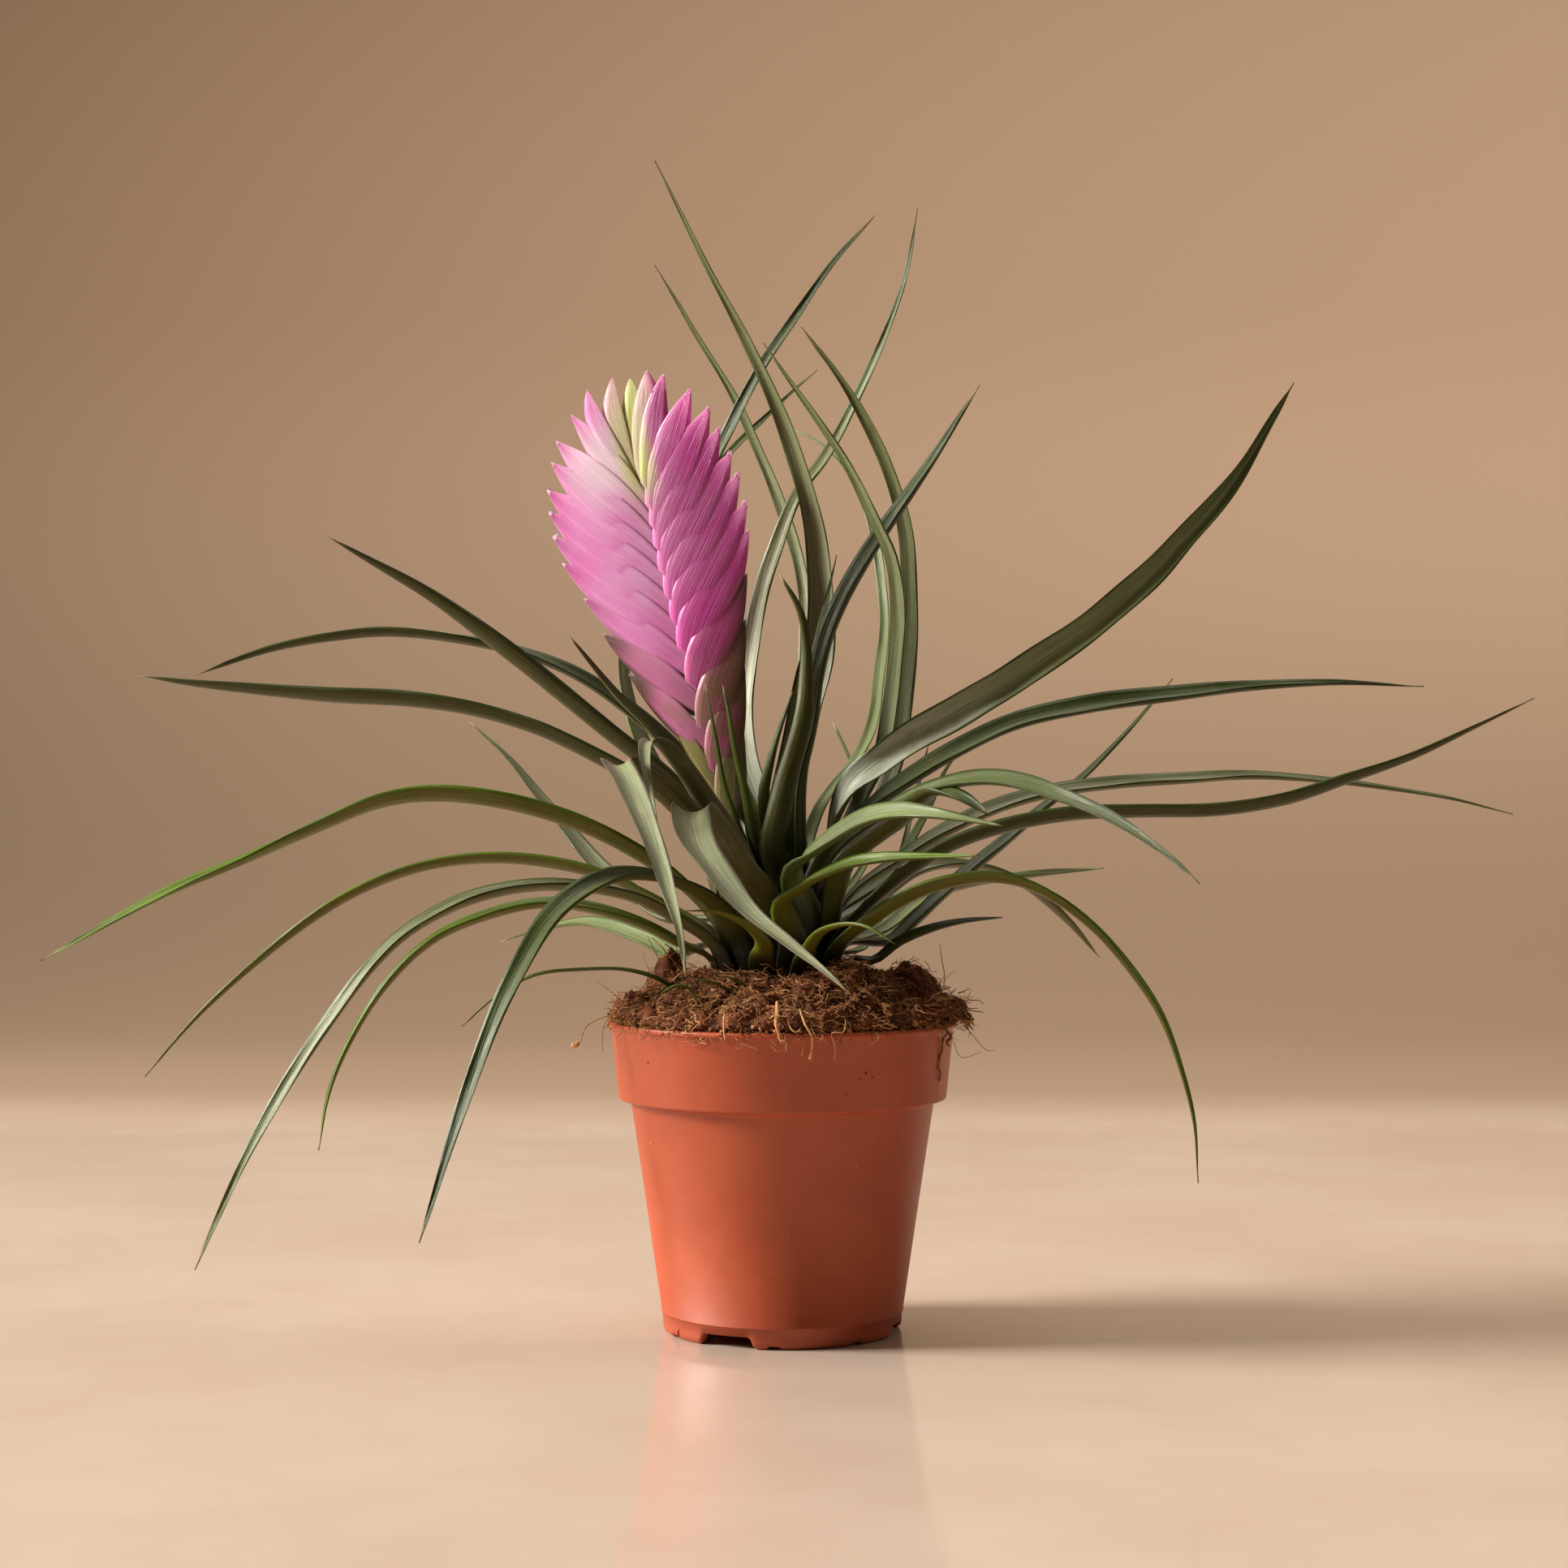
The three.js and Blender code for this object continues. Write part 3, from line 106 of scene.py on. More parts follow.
class Route:
    """A smooth curve through points in millimetres, walked by its length.

    The curve is the centripetal spline that the part's source uses, so both follow the same line.
    """

    SAMPLES = 300
    HALF_STEP = 0.6

    def __init__(self, points: Sequence[Vector]) -> None:
        """Lay the curve through the points.

        Args:
            points: The places that the curve passes through, in millimetres.
        """
        knots = np.array([tuple(p) for p in points], float)
        padded = np.vstack([2 * knots[0] - knots[1], knots, 2 * knots[-1] - knots[-2]])
        spans = len(knots) - 1
        places = [min(spans * i / self.SAMPLES, spans - TINY) for i in range(self.SAMPLES + 1)]
        self.points = np.array([self._span(padded[int(p) : int(p) + 4], p - int(p)) for p in places])
        steps = np.linalg.norm(np.diff(self.points, axis=0), axis=1)
        self.reaches = np.concatenate([[0.0], np.cumsum(steps)])
        self.length = float(self.reaches[-1])

    @staticmethod
    def _span(four: np.ndarray, share: float) -> np.ndarray:
        """Return the place at a share of the way along the span between the two middle knots."""
        before, start, end, after = four
        gaps = [max(float(np.dot(b - a, b - a)), TINY) ** 0.25 for a, b in zip(four, four[1:])]
        leaving = (start - before) / gaps[0] - (end - before) / (gaps[0] + gaps[1]) + (end - start) / gaps[1]
        arriving = (end - start) / gaps[1] - (after - start) / (gaps[1] + gaps[2]) + (after - end) / gaps[2]
        leaving, arriving = leaving * gaps[1], arriving * gaps[1]
        square = 3 * (end - start) - 2 * leaving - arriving
        cube = 2 * (start - end) + leaving + arriving
        return start + leaving * share + square * share**2 + cube * share**3

    def point(self, share: float) -> Vector:
        """Return the place at a share of the curve's length."""
        reach = share * self.length
        return Vector([float(np.interp(reach, self.reaches, self.points[:, k])) for k in range(3)])

    def along(self, share: float) -> Vector:
        """Return the curve's direction at a share of its length."""
        step = self.HALF_STEP / self.length
        ahead, behind = min(1.0, share + step), max(0.0, share - step)
        return (self.point(ahead) - self.point(behind)).normalized()


# Meshes


def warped_grid(columns: int, rows: int, place: Place, closed: bool) -> bmesh.types.BMesh:
    """Make a grid and move each of its vertices to its place on a surface.

    Args:
        columns: Faces across the grid.
        rows: Faces along it.
        place: Gives a vertex's place in millimetres and its marks, from its shares across and along.
        closed: Whether the grid's two long sides meet, which makes it a tube with closed ends.

    Returns:
        The surface, whose layer "marks" holds what a material needs to know about each vertex.
    """
    bm = bmesh.new()
    bmesh.ops.create_grid(bm, x_segments=columns, y_segments=rows, size=1.0)
    marks = bm.verts.layers.float_vector.new("marks")
    for vertex in bm.verts:
        across, along = (vertex.co.x + 1) / 2, (vertex.co.y + 1) / 2
        spot, mark = place(across, along)
        vertex.co, vertex[marks] = spot * MM, mark
    if closed:
        bmesh.ops.remove_doubles(bm, verts=bm.verts, dist=WELD)
        rim = [edge for edge in bm.edges if edge.is_boundary]
        bmesh.ops.holes_fill(bm, edges=rim, sides=0)
        bmesh.ops.recalc_face_normals(bm, faces=bm.faces)
    return bm


def mesh_of(name: str, bm: bmesh.types.BMesh) -> Mesh:
    """Turn a bmesh into a smooth mesh and free it."""
    mesh = bpy.data.meshes.new(name)
    bm.to_mesh(mesh)
    bm.free()
    mesh.shade_smooth()
    return mesh


def assembled(name: str, shapes: Sequence[Mesh], copies: Iterable[Copy]) -> Mesh:
    """Join copies of small shapes into one mesh.

    Args:
        name: The new mesh's name.
        shapes: The meshes to copy, which may carry marks.
        copies: For each copy, which shape it is, where it goes and its nature.

    Returns:
        The mesh, with its marks and natures as point attributes.
    """
    kinds = []
    for shape in shapes:
        count = len(shape.vertices)
        values = {"co": np.zeros(count * 3, np.float32), "marks": np.zeros(count * 3, np.float32)}
        shape.vertices.foreach_get("co", values["co"])
        if "marks" in shape.attributes:
            shape.attributes["marks"].data.foreach_get("vector", values["marks"])
        faces = [tuple(face.vertices) for face in shape.polygons]
        kinds.append((values["co"].reshape(-1, 3), values["marks"], faces))
    spots, faces, marks, natures, first = [], [], [], [], 0
    for kind, matrix, nature in copies:
        own, own_marks, loops = kinds[kind]
        spots.append(own @ np.array(matrix.to_3x3()).T + np.array(matrix.translation))
        faces.extend(tuple(first + i for i in loop) for loop in loops)
        marks.append(own_marks)
        natures.append(np.tile(np.array(nature, np.float32), len(own)))
        first += len(own)
    mesh = bpy.data.meshes.new(name)
    mesh.from_pydata(np.vstack(spots).tolist(), [], faces)
    for title, rows in (("marks", marks), ("nature", natures)):
        layer = mesh.attributes.new(title, "FLOAT_VECTOR", "POINT")
        layer.data.foreach_set("vector", np.concatenate(rows))
    mesh.shade_smooth()
    for shape in shapes:
        bpy.data.meshes.remove(shape)
    return mesh


def each_once(natures: Iterable[Vector]) -> list[Copy]:
    """List one copy of each shape where it already is."""
    return [(index, Matrix.Identity(4), nature) for index, nature in enumerate(natures)]


def set_down(spot: Vector, turn: Matrix, sizes: Sequence[float]) -> Matrix:
    """Return the matrix that sizes a shape along its axes, turns it and moves it by millimetres."""
    return Matrix.Translation(spot * MM) @ turn @ Matrix.Diagonal((*sizes, 1.0))


def new_object(name: str, data: bpy.types.ID) -> bpy.types.Object:
    """Put a new object into the scene, at the origin."""
    made = bpy.data.objects.new(name, data)
    bpy.context.scene.collection.objects.link(made)
    return made


def show(name: str, mesh: Mesh, material: Material) -> bpy.types.Object:
    """Put a finished mesh into the scene as a piece that rides on the part's body.

    Args:
        name: The piece's name.
        mesh: Its mesh, already in place.
        material: Its only material.

    Returns:
        The new object.
    """
    piece = new_object(name, mesh)
    mesh.materials.clear()
    mesh.materials.append(material)
    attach(piece, BODY)
    LOG.info("%s: %d faces", name, len(mesh.polygons))
    return piece


def tube(
    route: Route, radius: Callable[[float], float], off_route: Vector, sides: int, rows: int
) -> bmesh.types.BMesh:
    """Make a round closed tube along a route.

    Args:
        route: The tube's middle line in millimetres.
        radius: Gives its radius in millimetres at a share of its length.
        off_route: A direction that the route never takes.
        sides: Faces round it.
        rows: Steps along it.

    Returns:
        The tube.
    """

    def place(across: float, along: float) -> Vertex:
        """Put a vertex on the tube's round."""
        ahead = route.along(along)
        side = ahead.cross(off_route).normalized()
        angle = math.tau * across
        around = side * math.cos(angle) + side.cross(ahead) * math.sin(angle)
        return route.point(along) + around * radius(along), Vector()

    return warped_grid(sides, rows, place, closed=True)


def thread(route: Route, radius: float, sides: int, rows: int) -> bmesh.types.BMesh:
    """Make a thin fibre along a route, tapering from its radius in the middle to both of its ends.

    Args:
        route: The fibre's middle line in millimetres.
        radius: Its radius in the middle, in millimetres.
        sides: Faces round it.
        rows: Steps along it.

    Returns:
        The fibre as a closed tube.
    """
    end_share = 0.35

    def tapered(along: float) -> float:
        """Return the fibre's radius at a share of its length."""
        return radius * mix(end_share, 1.0, math.sin(math.pi * along) ** 0.5)

    return tube(route, tapered, Vector((0.31, 0.17, 0.93)), sides, rows)


# Shaders


class Value:
    """One output of a node, which takes part in arithmetic with other outputs and with plain numbers."""

    def __init__(self, nodes: "Nodes", socket: bpy.types.NodeSocket) -> None:
        """Wrap a socket of the tree that nodes works on."""
        self.nodes = nodes
        self.socket = socket

    def combined(self, operation: str, other: "Source") -> "Value":
        """Return the result of one step of arithmetic with another value."""
        return self.nodes.math(operation, self, other)

    __add__ = partialmethod(combined, "ADD")
    __sub__ = partialmethod(combined, "SUBTRACT")
    __mul__ = partialmethod(combined, "MULTIPLY")
    __truediv__ = partialmethod(combined, "DIVIDE")
    __pow__ = partialmethod(combined, "POWER")

    def __rsub__(self, other: float) -> "Value":
        """Return a number less this value."""
        return self.nodes.math("SUBTRACT", other, self)

    def __abs__(self) -> "Value":
        """Return the distance from zero."""
        return self.nodes.math("ABSOLUTE", self)

    def clamped(self) -> "Value":
        """Keep the result of a step of arithmetic between 0 and 1."""
        self.socket.node.use_clamp = True
        return self


Source = Value | float | Colour | Vector
Inputs = dict[str | int, Source]


class Nodes:
    """Adds nodes to a material's or a group's tree and joins them."""

    def __init__(self, tree: bpy.types.NodeTree) -> None:
        """Work on one node tree."""
        self.tree = tree

    def feed(self, socket: bpy.types.NodeSocket, source: Source) -> None:
        """Link a socket to a value, or set it."""
        if isinstance(source, Value):
            self.tree.links.new(source.socket, socket)
        else:
            socket.default_value = source

    def add(self, kind: str, inputs: Inputs | None = None, **settings: object) -> bpy.types.Node:
        """Add a node, set its settings and feed its inputs."""
        node = self.tree.nodes.new(kind)
        for name, value in settings.items():
            setattr(node, name, value)
        for key, source in (inputs or {}).items():
            self.feed(node.inputs[key], source)
        return node

    def value(self, node: bpy.types.Node, output: str | int = 0) -> Value:
        """Return one of a node's outputs."""
        return Value(self, node.outputs[output])

    def math(self, operation: str, first: Source, second: Source = 0.0) -> Value:
        """Return the result of one step of arithmetic."""
        return self.value(self.add("ShaderNodeMath", {0: first, 1: second}, operation=operation))

    def vector(self, operation: str, first: Source, second: Source) -> Value:
        """Return the result of one step of arithmetic on vectors."""
        second_input = 3 if operation == "SCALE" else 1
        node = self.add("ShaderNodeVectorMath", {0: first, second_input: second}, operation=operation)
        return self.value(node, "Value" if operation == "DOT_PRODUCT" else "Vector")

    def rise(self, value: Source, low: float, high: float, start: float = 0.0, end: float = 1.0) -> Value:
        """Return a value that goes softly from start to end as another goes from low to high."""
        limits = {0: value, 1: low, 2: high, 3: start, 4: end}
        return self.value(self.add("ShaderNodeMapRange", limits, interpolation_type="SMOOTHSTEP"))

    def blend(self, share: Source, first: Source, second: Source, mode: str = "MIX") -> Value:
        """Return a colour between two others."""
        node = self.add("ShaderNodeMix", {0: share, 6: first, 7: second}, data_type="RGBA", blend_type=mode)
        return self.value(node, 2)

    def layered(self, colour: Source, layers: Iterable[tuple[Source, str]]) -> Source:
        """Lay colours over a first one, each by its own share."""
        for share, code in layers:
            colour = self.blend(share, colour, tint(code))
        return colour

    def shaded(self, colour: Source, shade: Source) -> Value:
        """Return a colour that is made lighter or darker."""
        return self.blend(1.0, colour, shade, "MULTIPLY")

    def noise(self, place: Source, scale: float, detail: float = 3.0, roughness: float = 0.5) -> Value:
        """Return soft noise at a place."""
        inputs = {"Vector": place, "Scale": scale, "Detail": detail, "Roughness": roughness}
        return self.value(self.add("ShaderNodeTexNoise", inputs), "Fac")

    def joined(self, x: Source, y: Source, z: Source) -> Value:
        """Return a vector made of three values."""
        return self.value(self.add("ShaderNodeCombineXYZ", {0: x, 1: y, 2: z}))

    def parts(self, vector: Source) -> list[Value]:
        """Return a vector's three values."""
        node = self.add("ShaderNodeSeparateXYZ", {0: vector})
        return [self.value(node, axis) for axis in range(3)]

    def marks(self, name: str = "marks") -> list[Value]:
        """Return the three values that each vertex of the piece carries."""
        return self.parts(self.value(self.add("ShaderNodeAttribute", attribute_name=name), "Vector"))

    def place(self) -> Value:
        """Return the place on the piece, in metres."""
        return self.value(self.add("ShaderNodeTexCoord"), "Object")

    def group(self, group: bpy.types.NodeTree, **inputs: Source) -> Value:
        """Return a shared effect, feeding its inputs by name."""
        named = {name.replace("_", " ").capitalize(): source for name, source in inputs.items()}
        return self.value(self.add("ShaderNodeGroup", named, node_tree=group))


class Effect:
    """A shader effect that several materials share, as a node group."""

    def __init__(self, name: str, inputs: dict[str, float | str], output: str) -> None:
        """Make the group with its sockets.

        Args:
            name: The group's name.
            inputs: Each input's name, with its usual value or "vector".
            output: The name of its output, a plain value.
        """
        self.tree = bpy.data.node_groups.new(name, "ShaderNodeTree")
        for title, usual in inputs.items():
            kind = "NodeSocketVector" if usual == "vector" else "NodeSocketFloat"
            socket = self.tree.interface.new_socket(title, in_out="INPUT", socket_type=kind)
            if usual != "vector":
                socket.default_value = usual
        self.tree.interface.new_socket(output, in_out="OUTPUT", socket_type="NodeSocketFloat")
        self.nodes = Nodes(self.tree)
        group_input = self.nodes.add("NodeGroupInput")
        self.inputs = [self.nodes.value(group_input, title) for title in inputs]

    def giving(self, result: Value) -> bpy.types.NodeTree:
        """Feed the group's output and return the group."""
        self.nodes.add("NodeGroupOutput", {0: result})
        return self.tree


def lengthwise_lines() -> bpy.types.NodeTree:
    """Make the effect of the fine parallel veins that run along a blade.

    Returns:
        A group whose output is 0 in the grooves and 1 on the lines.
    """
    effect = Effect("lengthwise_lines", {"Across": 0.0, "Along": 0.0, "Count": 20.0, "Seed": 0.0}, "Lines")
    nodes = effect.nodes
    across, along, count, seed = effect.inputs
    fine = nodes.joined(across * count, along * 0.7, seed)
    broad = nodes.vector("MULTIPLY", fine, (0.31, 0.5, 1.0))
    both = nodes.noise(fine, 1.0, 1.0) * 0.65 + nodes.noise(broad, 1.0, 2.0) * 0.35
    return effect.giving(nodes.rise(both, 0.36, 0.64))


def fine_specks() -> bpy.types.NodeTree:
    """Make the effect of tiny specks, such as a leaf's scales or dust on the pot.

    Returns:
        A group whose output is 1 on a speck and 0 elsewhere.
    """
    inputs = {"Place": "vector", "Per metre": 1500.0, "Share": 0.2, "Reach": 0.3}
    effect = Effect("fine_specks", inputs, "Specks")
    nodes = effect.nodes
    place, per_metre, share, reach = effect.inputs
    cells = nodes.add("ShaderNodeTexVoronoi", {"Vector": place, "Scale": per_metre})
    chosen = nodes.math("LESS_THAN", nodes.parts(nodes.value(cells, "Color"))[0], share)
    near = (1.0 - nodes.value(cells, "Distance") / reach).clamped()
    return effect.giving(nodes.rise(near, 0.0, 0.5) * chosen)


def mottling() -> bpy.types.NodeTree:
    """Make the effect of soft blotches of two sizes.

    Returns:
        A group whose output wanders round 0.5.
    """
    effect = Effect("mottling", {"Place": "vector", "Per metre": 60.0}, "Blotches")
    nodes = effect.nodes
    place, per_metre = effect.inputs
    large = nodes.noise(place, 1.0, 3.0, 0.6)
    small = nodes.noise(nodes.vector("SCALE", place, per_metre), 1.0, 4.0, 0.62)
    return effect.giving(large * 0.2 + small * 0.8)


@dataclass(frozen=True)
class Effects:
    """The shared shader effects, each built once."""

    lines: bpy.types.NodeTree
    specks: bpy.types.NodeTree
    blotches: bpy.types.NodeTree


class Finish(Nodes):
    """A material's nodes round its Principled shader."""

    def __init__(self, name: str) -> None:
        """Make the material."""
        self.material = bpy.data.materials.new(name)
        self.material.use_nodes = True
        super().__init__(self.material.node_tree)

    def done(self, inputs: Inputs, height: Source | None = None, depth: float = 0.0) -> Material:
        """Feed the shader.

        Args:
            inputs: What its inputs get.
            height: The surface's small relief, from 0 to 1, or None where it is smooth.
            depth: The relief's depth in millimetres.

        Returns:
            The finished material.
        """
        shader = self.tree.nodes["Principled BSDF"]
        for title, source in inputs.items():
            self.feed(shader.inputs[title], source)
        if height is not None:
            bump = self.add("ShaderNodeBump", {"Strength": 1.0, "Distance": depth * MM, "Height": height})
            self.feed(shader.inputs["Normal"], self.value(bump))
        return self.material


# Leaves


@dataclass(frozen=True)
class Eye:
    """The place that the plant is seen from where a leaf's route is noted, in front of the pot's axis."""

    distance: float = 746.0
    height: float = 137.0

    def seen(self, across: float, up: float, behind: float) -> Vector:
        """Return the place that is seen at across and up on the upright plane through the pot's axis."""
        scale = 1 + behind / self.distance
        return Vector((across * scale, behind, self.height + (up - self.height) * scale))


@dataclass(frozen=True)
class Cups:
    """The layers in which the leaf sheaths nest round the stem, like cups that open upwards."""

    axis: float = -1.0
    soil_height: float = 90.0
    inner_radius: float = 2.8
    layer_step: float = 1.35
    centre_lean: float = 0.03
    layer_lean: float = 0.045
    foot_height: float = 84.6
    leave_height: float = 124.0
    leave_drop: float = 3.0
    knots: tuple[float, ...] = (0.0, 0.33, 0.66, 1.0)

    def lean(self, layer: float) -> float:
        """Return how far a layer leans outwards for each millimetre up."""
        return self.centre_lean + self.layer_lean * layer

    def radius(self, layer: float, height: float) -> float:
        """Return a layer's radius at a height."""
        return self.inner_radius + self.layer_step * layer + (height - self.soil_height) * self.lean(layer)

    def top(self, layer: float) -> float:
        """Return the height at which a layer's leaves leave the cup."""
        return self.leave_height - self.leave_drop * layer


EYE = Eye()
CUPS = Cups()


class LeafLook(Enum):
    """The leaves' colourings."""

    DARK = "dark"
    GREEN = "green"
    GREY = "grey"
    SILVER = "silver"
    PALE = "pale"
    DROOPING = "drooping"
    YOUNG = "young"


@dataclass(frozen=True)
class LeafFinish:
    """The colours and gloss of one kind of leaf.

    base is the upper face's colour near the sheath, upper further out and far towards the tip. lower is
    its lower face, and middle the line along its gutter. scales says how much of it is dusted with them.
    """

    base: str
    upper: str
    far: str
    lower: str
    edge: str
    middle: str
    # The sheath's near-black is partly the sheaths' own dark maroon and partly painted shade deep in the
    # heart.
    sheath: str = "0e0606"
    tip: str = "8a7f50"
    warm: str = "5f4c26"
    scales: float = 0.22
    roughness: float = 0.46
    gloss: float = 0.3

    def material(self, name: str, effects: Effects) -> Material:
        """Make the leaf's material.

        Args:
            name: The material's name.
            effects: The shared effects.

        Returns:
            A material that reads the leaf's marks and nature.
        """
        nodes = Finish(name)
        across, share, face = nodes.marks()
        sheath_end, length, tone = nodes.marks("nature")
        place = nodes.place()
        from_middle = abs(across)
        lines = nodes.group(effects.lines, across=across, along=share * length, count=11.0, seed=tone * 37.0)
        blotches = nodes.group(effects.blotches, place=place, per_metre=150.0)
        specks = nodes.group(effects.specks, place=place, per_metre=2300.0, share=0.3, reach=0.3)
        outwards = ((share - sheath_end) / (1.0 - sheath_end)).clamped()
        upper = nodes.layered(tint(self.base), (
            (nodes.rise(outwards, 0.18, 0.5), self.upper),
            (nodes.rise(outwards, 0.5, 0.95), self.far),
            (nodes.rise(from_middle, 0.04, 0.34, 0.5, 0.0), self.middle),
        ))
        colour = nodes.layered(nodes.blend(face, tint(self.lower), upper), (
            (nodes.rise(blotches, 0.5, 0.74, 0.0, 0.5), self.warm),
            (nodes.rise(from_middle, 0.76, 0.95, 0.0, 0.9), self.edge),
        ))
        speckled = specks * self.scales
        colour = nodes.layered(nodes.shaded(colour, lines * 0.34 + tone * 0.36 + 0.62), (
            (speckled, "acb08c"),
            # Painted shade: towards its foot the sheath is laid near black, partly its own dark maroon and
            # partly the shade deep in the heart.
            (nodes.rise(share / sheath_end, 0.8, 1.55, 0.96, 0.0), self.sheath),
            (nodes.rise(share, 0.955, 1.0, 0.0, 0.85), self.tip),
        ))
        inputs = {
            "Base Color": colour,
            "Roughness": lines * -0.1 + self.roughness + speckled * 0.3,
            "Specular IOR Level": self.gloss,
        }
        return nodes.done(inputs, lines + specks * 0.2, 0.05)


# The looks are partly the leaves' own colours and partly painted light and shade: DARK's darker colours go on
# many of the leaves that the key light strikes most, and several leaves in its shade get lighter looks.
LEAF_FINISHES: dict[LeafLook, LeafFinish] = {
    LeafLook.DARK: LeafFinish("4a5330", "3a461e", "32401a", "3e3e14", "2c3a12", "424c24", scales=0.14),
    LeafLook.GREEN: LeafFinish("69742f", "60781c", "567020", "58560f", "4a640c", "6c7c22", warm="746020"),
    LeafLook.GREY: LeafFinish("7f8468", "6f7652", "606a3c", "5c5a30", "3a481c", "7c825c", scales=0.26),
    LeafLook.SILVER: LeafFinish("969a8a", "6e764e", "44522a", "504c24", "364a18", "8c9270", scales=0.3),
    LeafLook.PALE: LeafFinish("5c6640", "626e48", "667246", "545c2c", "4c5c28", "6e7a48", tip="a8a070"),
    LeafLook.DROOPING: LeafFinish("6e7450", "7a8260", "727a54", "48441f", "5a4e3c", "868c5c", scales=0.3,
                                  warm="6e6044"),
    LeafLook.YOUNG: LeafFinish("4e5a22", "4a5a20", "465618", "3e4812", "526410", "485222", tip="7a6c38"),
}


@dataclass(frozen=True)
class Leaf:
    """One leaf.

    azimuth is where its sheath stands round the stem, in degrees anticlockwise from the right, and layer
    its cup. sheath is half the sheath's width, and width the blade's, both measured flat. roll turns the
    blade about its own length at its middle and tip. taper is the share of its length where it starts to
    narrow, and a higher blunt narrows it later. route is the visible blade: across, up and behind, as
    Eye.seen takes them.
    """

    name: str
    look: LeafLook
    azimuth: float
    width: float
    route: tuple[Spot, ...]
    layer: float | None = None
    sheath: float = 0.0
    tip_azimuth: float | None = None
    roll: Pair = (0.0, 0.0)
    gutter: float = 1.0
    taper: float = 0.42
    blunt: float = 1.35
    LEAST_SHEATH: ClassVar[float] = 0.02

    def points(self) -> list[Vector]:
        """Return the points that the leaf's middle line passes through."""
        points = []
        if self.layer is not None:
            angle = math.radians(self.azimuth)
            for share in CUPS.knots:
                height = mix(CUPS.foot_height, CUPS.top(self.layer), share)
                radius = CUPS.radius(self.layer, height)
                x, y = CUPS.axis + radius * math.cos(angle), radius * math.sin(angle)
                points.append(Vector((x, y, height)))
        return points + [EYE.seen(*spot) for spot in self.route]

    def shape(self, seed: float) -> tuple[bmesh.types.BMesh, Vector]:
        """Make the leaf.

        Args:
            seed: Sets this leaf's own small waves.

        Returns:
            The leaf's closed surface, and where its sheath ends and how long it is as its nature.
        """
        blade = Blade(self, Route(self.points()), seed)
        bm = warped_grid(2 * blade.columns, blade.rows, blade.place, closed=True)
        return bm, Vector((max(blade.sheath_end, self.LEAST_SHEATH), blade.route.length / 10, 0.0))


